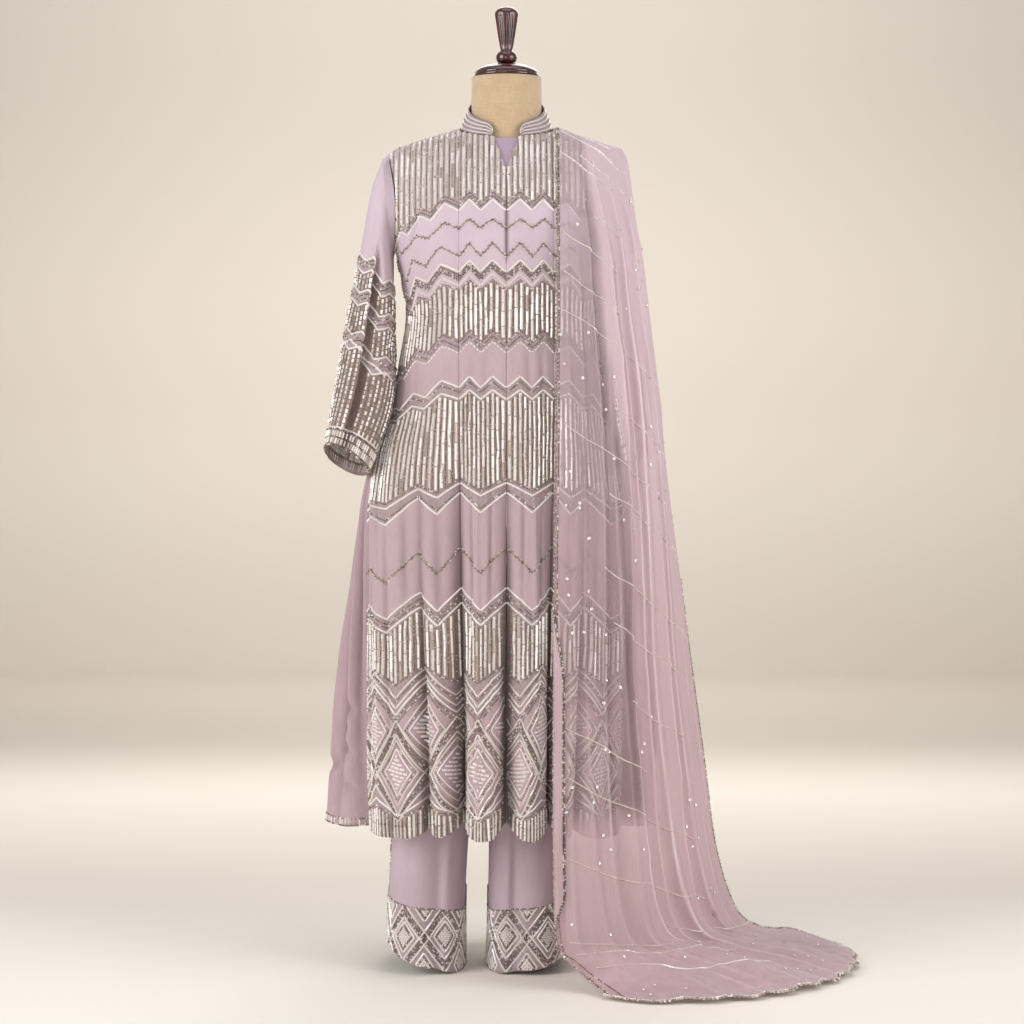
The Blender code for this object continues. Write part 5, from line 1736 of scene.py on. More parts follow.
@dataclass
class Sleeve:
    """A long sleeve: plain above, worked in bands and stripes below, with a deep fold.

    rings holds, from the armhole down: outer x and z, inner x and z, half depth, how far it
    hangs forward, and how much its front edge rises.
    """

    side: Side
    rings: Array
    fold: float = 0.013
    armhole_gap: float = 0.0017
    turns: int = 84
    columns: int = 30
    zigzags: float = 6.0
    step: float = 0.0055
    tilt: float = 0.30
    bands: tuple[tuple[float, float], ...] = (
        (1.196, 1.172), (1.140, 1.114), (1.066, 1.036))
    stripes: tuple[tuple[float, float], ...] = ((1.172, 1.140), (1.114, 1.066), (1.036, 0.40))
    cuff: float = 0.031
    row_step: float = 0.0048

    def points(self, places: Array, turn: Array, kameez: Kameez) -> Array:
        """The sleeve's outer face by place down it and turn round it from the top."""
        s = self.side.value
        c, q = np.cos(np.radians(turn))[None, :], np.sin(np.radians(turn))[None, :]
        rows = spline(self.rings, np.maximum(places, 0.0))
        ox, oz, ix, iz, half, forward, up = (rows[:, k][:, None] for k in range(7))
        lower = smooth(1.0, 4.0, places)[:, None]
        fold = self.fold * lower * bump(turn[None, :], 95.0, 17.0)
        fold = fold + 0.6 * self.fold * lower * bump(turn[None, :], 265.0, 22.0)
        depth = (half - fold) * signed_power(q, 0.85)
        x = s * ((ox + ix) / 2.0 + (ox - ix) * 0.5 * c)
        y = -forward - depth
        z = (oz + iz) / 2.0 + (oz - iz) * 0.5 * c + up * q
        tube = np.stack(np.broadcast_arrays(x, y, z), axis=-1)
        top = places < 0.0
        if top.any():
            share = 0.5 + 0.5 * c[0]
            height = kameez.underarm_z + (kameez.shoulder_z - kameez.underarm_z) * share
            level = at_height(kameez.levels[10:15], height)
            spread = kameez.spread(height)
            girth = s * np.where(q[0] > 0.0, 90.0 - spread, 90.0 + spread)
            edge = ring(level, girth)
            edge[:, 0] += s * self.armhole_gap
            blend = (1.0 + places[top])[:, None, None]
            tube[top] = edge[None] + (tube[top] - edge[None]) * blend
        return tube

    def build(self, shop: Workshop, kameez: Kameez) -> None:
        """Builds the cloth, its creases and its beads."""
        last = len(self.rings) - 1.0
        places = np.concatenate([np.linspace(-1.0, 0.0, 9)[:-1],
                                 even_places(self.rings[:, [1, 0]], 0.0, last, self.row_step, 1)])
        turn = np.arange(self.turns) * 360.0 / self.turns
        weave = Weave(self.points(places, turn, kameez), closed=True)
        weave = weave.moved(self.creases(places, turn))
        height = self.pattern(weave, turn)
        zig = self.step * tri(self.zigzags * turn[None, :] / 360.0 + 0.3)

        def inside(zones: Sequence[tuple[float, float]]) -> Array:
            """Signed depth into a list of zones, in metres."""
            best = np.full(height.shape, -1.0)
            for high, low in zones:
                best = np.maximum(best, np.minimum(high + zig - height, height - low - zig))
            return np.clip(best, -0.05, 0.05)

        cuff = (self.row_step * (len(places) - 1 - np.arange(len(places))) - self.cuff)[:, None]
        cuff = np.clip(cuff, -0.05, 0.05)
        # deep is painted shade in the long fold; the mark also darkens the whole cuff band.
        deep = bump(turn, FOLD_TURN, 6.0)[None] * smooth(1.6, 3.2, places)[:, None]
        weave.marks = {"worked": np.minimum(inside(self.stripes), cuff),
                       "banded": np.maximum(inside(self.bands), -cuff),
                       "deep": 0.75 * deep + 0.8 * (cuff < 0.0),
                       "column": np.broadcast_to(turn * self.columns / 360.0, height.shape)}
        name = f"kameez_sleeve_{self.side.word}"
        tray = BeadTray(91 + self.side.value)
        self.sew(tray, weave, height)
        beads = shop.put(tray.mesh(f"{name}_beads"), BEADS)
        shop.cloth(f"{name}_cloth", weave.turned(0.0, 0.0, 0.0, 0.014), SLEEVE_CLOTH,
                   [name])

    def pattern(self, weave: Weave, turn: Array) -> Array:
        """The pattern's height on the cloth: it steps up past the long fold."""
        p = weave.points
        lifted = 0.016 * np.tanh(6.0 * np.cos(np.radians(turn + 4.0)))
        return p[..., 2] - self.tilt * (np.abs(p[..., 0]) - 0.235) - lifted

    def creases(self, places: Array, turn: Array) -> Array:
        """Soft drag lines from the shoulder and crumples at the elbow."""
        p, t = places[:, None], turn[None, :]
        free = smooth(0.4, 1.6, p)
        cleft = 0.018 * bump(t, FOLD_TURN, 6.0) * smooth(1.6, 3.2, p) * (
            1.0 - 0.6 * smooth(7.8, 8.9, p))
        depth = 0.0020 * np.sin(np.radians(3.0 * t) + 0.5 * p) * free - cleft
        for at, place, width, reach, lean, deep in (
                (60.0, 2.2, 13.0, 1.6, -7.0, 0.0035), (125.0, 2.6, 14.0, 1.8, 6.0, 0.0030),
                (35.0, 4.9, 16.0, 0.7, 22.0, 0.0030), (150.0, 4.6, 16.0, 0.6, -24.0, 0.0030),
                (72.0, 5.6, 13.0, 1.2, 8.0, 0.0028), (118.0, 7.0, 12.0, 1.5, -4.0, 0.0028),
                (235.0, 2.6, 16.0, 1.8, -6.0, 0.0035), (300.0, 4.8, 20.0, 0.7, 24.0, 0.0032),
                (250.0, 6.8, 14.0, 1.6, 5.0, 0.0030), (200.0, 3.6, 18.0, 1.0, 10.0, 0.0028)):
            off = np.mod(t - at - lean * (p - place) + 180.0, 360.0) - 180.0
            depth = depth - deep * bump(off, 0.0, width) * bump(p, place, reach) * free
        return depth

    def sew(self, tray: BeadTray, weave: Weave, height: Array) -> None:
        """Columns of sequins, cords and bead rows between the bands, and the cuff border.

        Args:
            tray: Where the beads are collected.
            weave: The sleeve.
            height: The pattern's height at each point.
        """
        rows = np.arange(len(height))
        across = height.shape[1]
        chance = tray.chance
        per = across / 360.0

        def row_of(turn: Array, level: Array) -> Array:
            """Rows where the pattern has a height, at turns round the sleeve."""
            made = np.empty(len(turn))
            for i, (t, z) in enumerate(zip(turn, level)):
                k = int(t * per) % across
                share = t * per - math.floor(t * per)
                own = height[:, k] * (1.0 - share) + height[:, (k + 1) % across] * share
                made[i] = np.interp(-z, -own[9:], rows[9:])
            return made

        def zig(turn: Array) -> Array:
            """How far the bands step up and down round the sleeve."""
            return self.step * tri(self.zigzags * turn / 360.0 + 0.3)

        end = float(rows[-1])
        above = end - (self.cuff + 0.003) / self.row_step
        for zone, (high, low) in enumerate([*self.stripes, (0.0, 0.0)]):
            cuff = zone == len(self.stripes)
            count = self.columns * (2 if cuff else 1)
            for i in range(2 * count):
                turn = i * 180.0 / count
                sway = 0.0 if cuff else float(zig(np.array(turn)))
                ends = row_of(np.array([turn, turn]),
                              np.array([high + sway - 0.002, low + sway + 0.002]))
                if zone == len(self.stripes) - 1:
                    ends[1] = above
                elif cuff:
                    ends = np.array([above + 1.0, end - 0.6])
                if ends[1] - ends[0] < 1.0 or abs(turn - FOLD_TURN) < 5.0 and not cuff:
                    continue
                if i % 2:
                    path = np.linspace(ends[0], ends[1], max(3, int(ends[1] - ends[0]) + 2))
                    line, out = weave.at(path, turn * per)
                    tray.cord(line, out, 0.0015, 0.0010, 0.15 if not cuff else 0.3)
                    continue
                path = np.linspace(ends[0], ends[1], 20)
                line, out = weave.at(path, turn * per)
                run = float(np.linalg.norm(np.diff(line, axis=0), axis=1).sum())
                number = 2 if cuff else max(1, int(run / 0.0080))
                at = np.linspace(ends[0], ends[1], number + 1)
                line, out = weave.at(at, turn * per)
                gap = 0.10 * (line[1:] - line[:-1])
                tone = chance.choice([0.99, 0.86, 0.62, 0.38], number, p=[0.38, 0.30, 0.18, 0.14])
                tray.bars(line[:-1] + gap, line[1:] - gap, out[:-1], 0.0046, 0.0019, tone)
                if zone > 1:
                    under = 0.0004 * out
                    tray.bars(line[:-1] + gap - under[:-1], line[1:] - gap - under[1:], -out[:-1],
                              0.0040, 0.0012, 0.8 * tone)
        for level, swing, thread in (
                (1.197, 1, Thread.WHITE), (1.191, 1, Thread.BRONZE), (1.184, 1, Thread.BRONZE),
                (1.174, 1, Thread.WHITE), (1.139, 1, Thread.WHITE), (1.132, 1, Thread.BRONZE),
                (1.124, 1, Thread.BRONZE), (1.116, 1, Thread.WHITE), (1.065, 1, Thread.WHITE),
                (1.058, -1, Thread.BRONZE), (1.050, 1, Thread.BRONZE), (1.044, -1, Thread.WHITE),
                (1.038, 1, Thread.WHITE)):
            at = np.linspace(0.0, 360.0, 110 if thread is Thread.BRONZE else 300)
            tray.sew(*weave.at(row_of(at, level + swing * zig(at)), at * per), thread)
        for row, thread in ((above, Thread.WHITE), (above + 0.6, Thread.BRONZE),
                            (0.5 * (above + end) + 0.2, Thread.BRONZE), (end - 0.2, Thread.BRONZE)):
            at = np.linspace(0.0, 360.0, 110 if thread is Thread.BRONZE else 300)
            tray.sew(*weave.at(row, at * per), thread)


# Trousers


@dataclass
class Trousers:
    """Straight trousers with beaded hems, and the band at their waist.

    legs holds, from the floor up: z, centre x right and left, half width, front and back
    depth. hips holds rings above the crotch as the kameez does.
    """

    legs: Array = field(default_factory=lambda: np.array([
        (0.000, -0.1390, 0.0335, 0.0680, 0.117, 0.116),
        (0.060, -0.1380, 0.0340, 0.0665, 0.110, 0.114),
        (0.160, -0.1350, 0.0345, 0.0655, 0.101, 0.112),
        (0.300, -0.1270, 0.0400, 0.0670, 0.094, 0.110),
        (0.450, -0.1130, 0.0520, 0.0700, 0.096, 0.112),
        (0.590, -0.0960, 0.0670, 0.0750, 0.100, 0.116),
        (0.700, -0.0835, 0.0835, 0.0830, 0.104, 0.120),
        (0.810, -0.0835, 0.0835, 0.0830, 0.108, 0.122)]))
    hips: Array = field(default_factory=lambda: np.array([
        (0.700, 0.166, 0.166, 0.106, 0.118, 2.2, 0.0),
        (0.810, 0.168, 0.166, 0.110, 0.120, 2.2, 0.0),
        (0.880, 0.166, 0.164, 0.112, 0.120, 2.2, 0.0),
        (0.960, 0.158, 0.156, 0.108, 0.110, 2.2, 0.0),
        (1.020, 0.146, 0.145, 0.104, 0.099, 2.2, 0.0)]))
    hem_rise: float = 0.047
    rise_height: float = 0.16
    square: float = 2.6
    crease: float = 0.010
    crease_turn: float = 78.0
    split_z: float = 0.81
    crotch_z: float = 0.70
    seam_half: float = 0.00015
    cross_z: float = 0.064
    cross_half: float = 0.047
    repeat: float = 0.0760
    band_top: float = 0.112
    band_row: int = 10
    band_rows: int = 34

    def points(self, side: Side, turn: Array, z: Array) -> Array:
        """A leg's outer face: turn runs from the inner side by the front."""
        s = side.value
        leg = at_height(self.legs, np.minimum(z, self.split_z))
        centre = leg[:, 1 if s < 0 else 2][:, None]
        half, front, back = (leg[:, k][:, None] for k in (3, 4, 5))
        q, c = np.sin(np.radians(turn))[None, :], np.cos(np.radians(turn))[None, :]
        zz = z[:, None]
        depth = np.where(q > 0.0, front, back)
        crease = self.crease * (1.0 - smooth(0.2, 0.6, zz)) * bump(
            turn[None], self.crease_turn, 10.0)
        power = 2.0 / (self.square + (2.0 - self.square) * smooth(0.2, 0.5, zz))
        x = centre - s * half * signed_power(c, power)
        y = (crease - depth) * signed_power(q, power)
        rise = self.hem_rise * (0.5 - 0.5 * c) ** 1.7 * (1.0 if s < 0 else 0.55)
        up = zz + rise * np.maximum(0.0, 1.0 - zz / self.rise_height)
        tube = np.stack(np.broadcast_arrays(x, y, up), axis=-1)
        hip = at_height(self.hips, np.maximum(z, self.crotch_z))[:, None, :]
        whole = ring(hip, s * turn[None, :] / 2.0)
        whole[..., 0] += s * self.seam_half * (1.0 + c) / 2.0
        share = smooth(self.crotch_z, self.split_z, zz)[..., None]
        return tube + (whole - tube) * share

    def build(self, shop: Workshop) -> None:
        """Builds both legs, their beadwork and the waistband."""
        for side in Side:
            self.leg(shop, side)
        self.waistband(shop)

    def leg(self, shop: Workshop, side: Side) -> None:
        """One leg's cloth and beads."""
        z = np.concatenate([np.arange(0.0, 0.13, 0.0045), np.linspace(0.132, 1.020, 100)])
        turn = np.linspace(0.4, 359.6, 101)
        weave = Weave(self.points(side, turn, z), heart=self.heart(side))
        weave = weave.moved(self.creases(side, turn, z))
        z_row = weave.points[..., 2]
        front = self.arc(weave)
        top = self.top_of(front)
        banded = np.minimum(top - z_row, z_row + 1.0)
        edge = np.abs(turn[None, :] - 180.0)
        strip = 0.010 - edge / 360.0 * 0.42
        banded = np.maximum(banded, np.minimum(strip, 0.30 - z_row))
        shape = z_row.shape
        weave.marks = {"worked": np.full(shape, -0.02), "banded": np.clip(banded, -0.05, 0.05),
                       "column": np.zeros(shape)}
        name = f"trouser_leg_{side.word}"
        tray = BeadTray(131 + side.value)
        self.sew(tray, weave, front, turn)
        beads = shop.put(tray.mesh(f"{name}_beads"), BEADS)
        shop.cloth(f"{name}_cloth", weave.turned(0.0, 0.0, 0.012, 0.0), TROUSER_CLOTH,
                   [name])

    def heart(self, side: Side) -> tuple[float, float]:
        """The middle of a leg."""
        return (-0.12 if side is Side.RIGHT else 0.05, 0.0)

    def creases(self, side: Side, turn: Array, z: Array) -> Array:
        """A pressed leg's few soft folds."""
        t, h = turn[None, :], z[:, None]
        low = 1.0 - smooth(0.55, 0.75, h)
        depth = 0.0012 * np.sin(np.radians(3.0 * t) + 4.0 * h) * low * smooth(0.1, 0.25, h)
        pressed = 0.0035 if side is Side.LEFT else 0.0012
        depth = depth - pressed * bump(t, 77.0, 3.2) * bump(h, 0.17, 0.07)
        for at, height, width, reach, lean, deep in (
                (112.0, 0.22, 10.0, 0.05, 60.0, 0.0022), (52.0, 0.19, 9.0, 0.05, -50.0, 0.0020),
                (140.0, 0.40, 14.0, 0.12, 20.0, 0.0030), (230.0, 0.30, 14.0, 0.12, -20.0, 0.0030),
                (300.0, 0.20, 14.0, 0.08, 30.0, 0.0026), (262.0, 0.10, 9.0, 0.10, 0.0, 0.0022)):
            depth = depth - deep * bump(t - lean * (h - height), at, width) * bump(h, height, reach)
        return depth * np.ones_like(t * h)

    def arc(self, weave: Weave) -> Array:
        """Distance across the front from the leg's middle, in metres, towards the outer side."""
        p = weave.points
        run = np.concatenate([np.zeros((p.shape[0], 1)), np.cumsum(
            np.linalg.norm(np.diff(p, axis=1), axis=2), axis=1)], axis=1)
        middle = run[:, 25:26]
        return run - middle

    def sew(self, tray: BeadTray, weave: Weave, front: Array, turn: Array) -> None:
        """Crossing bands, diamonds and triangles of sequins round the hem.

        Args:
            tray: Where the beads are collected.
            weave: The leg.
            front: Distance from the leg's middle for each point.
            turn: The columns' turns.
        """
        columns = np.arange(len(turn))
        row_z = weave.points[..., 2]
        rows = np.arange(len(row_z))
        across = front[self.band_row]
        start, length = across[0], across[-1] - across[0]

        def lay(s: Array, z: Array) -> tuple[tuple[Array, Array], Array]:
            """Points and normals by distance and height, and which are on the band."""
            column = np.interp(s, across, columns)
            row = np.empty_like(z)
            for i, (c, h) in enumerate(zip(column, z)):
                k = min(int(c), len(columns) - 2)
                own = row_z[:, k] * (k + 1 - c) + row_z[:, k + 1] * (c - k)
                row[i] = np.interp(h, own, rows)
            keep = (row > 0.05) & (row < self.band_rows)
            return weave.at(row, column), keep

        def sew(s: Array, z: Array, thread: Thread) -> None:
            """One line of thread or beads, cut where it leaves the band."""
            (points, normals), keep = lay(s, z)
            top = self.top_of(s)
            keep = keep & (z < top + 0.0005)
            edges = np.flatnonzero(np.diff(np.concatenate([[0], keep.astype(int), [0]])))
            for a, b in zip(edges[::2], edges[1::2]):
                if b - a < 3:
                    continue
                run = run_along(points[a:b])
                pitch = 0.0030 if thread is Thread.BRONZE else 0.0040
                marks = np.linspace(0.0, run[-1], max(3, int(run[-1] / pitch)))
                p = np.stack([np.interp(marks, run, points[a:b, k]) for k in range(3)], axis=1)
                n = np.stack([np.interp(marks, run, normals[a:b, k]) for k in range(3)], axis=1)
                tray.sew(p, unit(n), thread)

        s = np.linspace(start + 0.002, start + length - 0.002, 900)
        a = s / self.repeat
        for way in (1.0, -1.0):
            base = self.cross_z + way * self.cross_half * 0.5 * (tri(a) + 1.0)
            for off, thread in ((-0.0125, Thread.WHITE), (-0.0070, Thread.BRONZE),
                                (-0.0020, Thread.BRONZE), (0.0035, Thread.BRONZE),
                                (0.0095, Thread.WHITE)):
                sew(s, base + off, thread)
        sew(s, self.top_of(s), Thread.BRONZE)
        count = int(length / self.repeat) + 2
        first = math.floor(start / self.repeat)
        for m in range(first, first + count + 1):
            for centre, level, wide, tall in (
                    (m + 0.5, self.cross_z, 0.27, 0.026),
                    (float(m), self.cross_z + 0.050, 0.23, 0.024),
                    (float(m), self.cross_z - 0.050, 0.23, 0.024)):
                t = np.linspace(0.0, 4.0, 41)
                da = wide * (np.abs(np.mod(t + 1.0, 4.0) - 2.0) - 1.0)
                dz = tall * (np.abs(np.mod(t, 4.0) - 2.0) - 1.0)
                sew((centre + da) * self.repeat, level + dz, Thread.WHITE)
                sew((centre + 0.78 * da) * self.repeat, level + 0.78 * dz, Thread.BRONZE)
                for i in range(-4, 5):
                    share = i / 4.8
                    reach = 0.66 * wide * (1.0 - abs(share))
                    number = max(1, int(2.0 * reach * self.repeat / 0.0052))
                    at = (centre + np.linspace(-reach, reach, number + 1)) * self.repeat
                    z = np.full(at.shape, level + 0.66 * tall * share)
                    (points, normals), keep = lay(at, z)
                    keep = keep & (z < self.top_of(at) - 0.002)
                    keep = keep & (at > start) & (at < start + length)
                    if keep.sum() < 2:
                        continue
                    points, normals = points[keep], normals[keep]
                    tray.bar_row(points, normals, 0.1, 0.0042, 0.0026, 0.98)
        self.sew_side(tray, weave, turn)

    def top_of(self, s: Array) -> Array:
        """The hem band's top edge: it climbs towards the outer side."""
        return self.band_top + 0.11 * np.clip(s, -0.09, 0.16)

    def sew_side(self, tray: BeadTray, weave: Weave, turn: Array) -> None:
        """The narrow beaded strip up the outer seam."""
        middle = int(np.argmin(np.abs(turn - 180.0)))
        rows = np.linspace(1.0, 46.0, 64)
        for off, thread in ((-2.2, Thread.BRONZE), (2.2, Thread.BRONZE)):
            tray.sew(*weave.at(rows, middle + off), thread)
        for off in (-1.5, -0.5, 0.5, 1.5):
            ends = np.linspace(1.5, 45.5, 23)
            points, normals = weave.at(ends, middle + off)
            tray.bar_row(points, normals, 0.06, 0.0046, 0.0024,
                         tray.chance.choice([1.0, 0.8, 0.35], 22, p=[0.5, 0.3, 0.2]))

    def waistband(self, shop: Workshop) -> None:
        """A gathered band over the top of the legs."""
        z = np.linspace(0.0, 1.0, 10)
        low = np.array([1.0206, 0.146, 0.145, 0.104, 0.099, 2.2, 0.0])
        high = np.array([1.0526, 0.1369, 0.1363, 0.0977, 0.0926, 2.2, 0.0])
        girth = np.arange(0.0, 360.0, 2.5)
        level = low[None] + (high - low)[None] * z[:, None]
        weave = Weave(ring(level[:, None, :], np.broadcast_to(girth, (len(z), len(girth)))),
                      closed=True)
        pleat = 0.0007 * np.sin(np.radians(girth * 24.0))[None] * np.sin(math.pi * z)[:, None]
        weave = weave.moved(pleat)
        shop.cloth("trouser_waistband_cloth", weave.turned(0.0, 0.0, 0.004, 0.004), PLAIN_CREPE,
                   ["trouser_waistband"])


# Dupatta


@dataclass
class Dupatta:
    """One long sheer scarf: behind the arm, over the shoulder, down the front and on the floor.

    stations holds, along its length: the inner edge's x, y, z, the outer edge's x, y, z, the
    outward bow, the height of its ridges, and the wave on the floor.
    """

    stations: Array = field(default_factory=lambda: np.array([
        (0.074, 0.196, 0.780, 0.236, 0.100, 0.780, 0.036, 0.012, 0.0),
        (0.076, 0.178, 0.900, 0.232, 0.090, 0.890, 0.036, 0.010, 0.0),
        (0.079, 0.150, 1.060, 0.228, 0.076, 1.040, 0.034, 0.007, 0.0),
        (0.082, 0.128, 1.220, 0.222, 0.062, 1.190, 0.030, 0.004, 0.0),
        (0.085, 0.105, 1.350, 0.216, 0.046, 1.305, 0.020, 0.001, 0.0),
        (0.086, 0.060, 1.418, 0.2090, 0.026, 1.362, 0.006, 0.0, 0.0),
        (0.087, 0.000, 1.436, 0.2035, 0.000, 1.387, 0.002, 0.0, 0.0),
        (0.086, -0.060, 1.412, 0.2090, -0.026, 1.362, 0.006, 0.0, 0.0),
        (0.085, -0.102, 1.352, 0.2150, -0.034, 1.314, 0.016, 0.001, 0.0),
        (0.084, -0.133, 1.250, 0.2270, -0.040, 1.230, 0.032, 0.004, 0.0),
        (0.083, -0.142, 1.130, 0.2400, -0.046, 1.120, 0.040, 0.007, 0.0),
        (0.082, -0.152, 1.000, 0.2560, -0.052, 0.990, 0.056, 0.008, 0.0),
        (0.080, -0.166, 0.860, 0.2690, -0.060, 0.850, 0.066, 0.009, 0.0),
        (0.078, -0.188, 0.700, 0.2910, -0.062, 0.700, 0.056, 0.011, 0.0),
        (0.077, -0.208, 0.520, 0.3140, -0.054, 0.530, 0.040, 0.012, 0.0),
        (0.076, -0.226, 0.340, 0.3380, -0.040, 0.360, 0.040, 0.013, 0.0),
        (0.077, -0.240, 0.180, 0.3610, -0.015, 0.200, 0.042, 0.013, 0.0),
        (0.082, -0.248, 0.078, 0.4020, 0.050, 0.082, 0.052, 0.010, 0.002),
        (0.100, -0.245, 0.052, 0.4520, 0.150, 0.024, 0.100, 0.0, 0.009),
        (0.130, -0.245, 0.022, 0.5100, 0.190, 0.012, 0.155, 0.0, 0.009),
        (0.165, -0.305, 0.004, 0.5640, 0.150, 0.005, 0.208, 0.0, 0.003)]))
    ridges: tuple[float, ...] = (0.38, 0.64, 0.80)
    front: float = 8.0
    turned_from: float = 13.3
    turned_width: float = 0.020
    scallops: int = 19
    scallop_depth: float = 0.013
    reach: float = 0.6
    heart: tuple[float, float] = (0.105, 0.0)

    def guide(self, places: Array, u: Array) -> Array:
        """The sheet before it is laid on what is under it."""
        row = spline(self.stations, places)
        inner, outer = row[:, None, 0:3], row[:, None, 3:6]
        bow, ridge, wave = (row[:, k][:, None] for k in (6, 7, 8))
        chord = outer - inner
        behind = (places < 6.0)[:, None]
        way = np.stack([np.abs(chord[..., 1]), np.abs(chord[..., 0]) * np.where(behind, 1.0, -1.0),
                        np.zeros_like(chord[..., 0])], axis=-1)
        way = unit(way)
        up = np.clip(1.0 - np.abs(places - 6.0), 0.0, 1.0)[:, None, None]
        way = unit(way + (np.array([0.0, 0.0, 1.0]) - way) * up)
        power = 0.75 - 0.15 * smooth(17.0, 20.0, places)[:, None]
        hump = np.clip(4.0 * u * (1.0 - u), 0.0, 1.0)[None] ** power
        soft = sum(bump(u, at, 0.055) for at in self.ridges)[None]
        points = inner + chord * u[None, :, None] + way * (bow * hump + ridge * soft)[..., None]
        points[..., 2] += wave * (0.5 - 0.5 * np.cos(2.0 * math.pi * 3.5 * u[None]))
        return points

    def laid(self, points: Array, places: Array, u: Array, tree: BVHTree) -> Array:
        """The sheet drawn out until it clears what it lies on."""
        on_top = smooth(4.6, 5.6, places) * (1.0 - smooth(6.4, 7.6, places))
        wide = 0.0022 + 0.0053 * smooth(0.6, 0.95, u)[None]
        clear = 0.0072 + (wide - 0.0072) * on_top[:, None] + 0.0011
        centre = np.zeros_like(points)
        centre[..., 0] = 0.105
        centre[..., 2] = np.minimum(points[..., 2], 1.30)
        rays = points - centre
        length = np.linalg.norm(rays, axis=-1)
        ways = rays / length[..., None]
        need = length.copy()
        for i in range(int(np.searchsorted(places, 16.5))):
            for j in range(len(u)):
                start = Vector(centre[i, j] + ways[i, j] * self.reach)
                hit = tree.ray_cast(start, Vector(-ways[i, j]), self.reach)[0]
                if hit is not None:
                    need[i, j] = max(need[i, j], (hit - Vector(centre[i, j])).length + clear[i, j])
        need = np.where((need - length > 0.03) & (places[:, None] > 8.0), length + 0.03, need)
        reach = need.copy()
        for _ in range(14):
            blur = reach.copy()
            blur[1:-1] = 0.25 * reach[:-2] + 0.5 * reach[1:-1] + 0.25 * reach[2:]
            side = blur.copy()
            side[:, 1:-1] = 0.25 * blur[:, :-2] + 0.5 * blur[:, 1:-1] + 0.25 * blur[:, 2:]
            reach = np.maximum(need, side)
        fade = (1.0 - smooth(16.0, 16.5, places))[:, None]
        return centre + ways * (length + (reach - length) * fade)[..., None]

    def creases(self, places: Array, u: Array) -> tuple[Array, Array]:
        """Long pleats with a soft side and a steep one, and crush lines.

        Args:
            places: Places along the scarf.
            u: Places across it.

        Returns:
            The outward depth, and how near each point is to a pleat's crest, 1, or to the
            shade beside it, -1.
        """
        p, a = places[:, None], u[None]
        hang = smooth(7.2, 8.6, p) + (1.0 - smooth(3.6, 5.0, p))
        depth, crest = 0.0 * p * a, 0.0 * p * a
        for at, sway, lean, soft, deep, first in (
                (0.075, 0.006, 0.0000, 0.030, 0.0030, 8.0),
                (0.165, 0.012, 0.0040, 0.045, 0.0050, 9.0),
                (0.270, 0.010, 0.0030, 0.060, 0.0085, 7.0),
                (0.360, 0.012, 0.0015, 0.050, 0.0070, 10.5),
                (0.440, 0.010, 0.0020, 0.055, 0.0095, 6.5),
                (0.530, 0.012, 0.0020, 0.050, 0.0080, 8.5),
                (0.610, 0.010, 0.0015, 0.050, 0.0100, 6.5),
                (0.690, 0.012, 0.0010, 0.045, 0.0070, 10.0),
                (0.770, 0.010, 0.0005, 0.050, 0.0085, 7.5),
                (0.860, 0.008, 0.0, 0.045, 0.0060, 9.5),
                (0.930, 0.006, 0.0, 0.035, 0.0045, 8.0)):
            line = at + sway * np.sin(0.8 * p + 41.0 * at) + lean * (p - 12.0)
            off = a - line
            shape = np.where(off < 0.0, np.exp(off / soft), np.exp(-(off / 0.013) ** 2))
            strong = (0.6 + 0.4 * np.sin(0.6 * p + 53.0 * at) ** 2) * np.where(
                p > 6.0, smooth(first, first + 1.2, p), 0.8 * smooth(0.0, 1.0, 4.8 - p))
            depth = depth + deep * strong * shape
            # crest carries painted light: + gives a painted highlight on each pleat's crest, -
            # painted shade on its steep side.
            crest = crest + strong * deep / 0.009 * (np.exp(-((off + 0.001) / 0.0065) ** 2)
                                                     - 0.8 * np.exp(-((off - 0.019) / 0.011) ** 2))
        for place, at, lean, deep in (
                (9.4, 0.5, 0.9, 0.0016), (10.6, 0.42, 1.2, 0.0020), (11.5, 0.6, -0.9, 0.0018),
                (12.4, 0.5, 1.1, 0.0020), (13.3, 0.55, 0.8, 0.0020), (14.2, 0.5, -1.0, 0.0020),
                (15.0, 0.62, 1.0, 0.0018), (15.8, 0.45, 0.8, 0.0020), (1.4, 0.5, 0.9, 0.0020),
                (2.6, 0.5, -0.8, 0.0018)):
            line = place + lean * (a - at)
            depth = depth + deep * np.exp(-((p - line) / 0.10) ** 2 - ((a - at) / 0.30) ** 2)
        floor = smooth(16.6, 18.4, p)
        return (depth * hang * (1.15 - 0.60 * floor),
                np.clip(crest * hang, -1.0, 1.0) * (1.0 - 0.5 * floor))

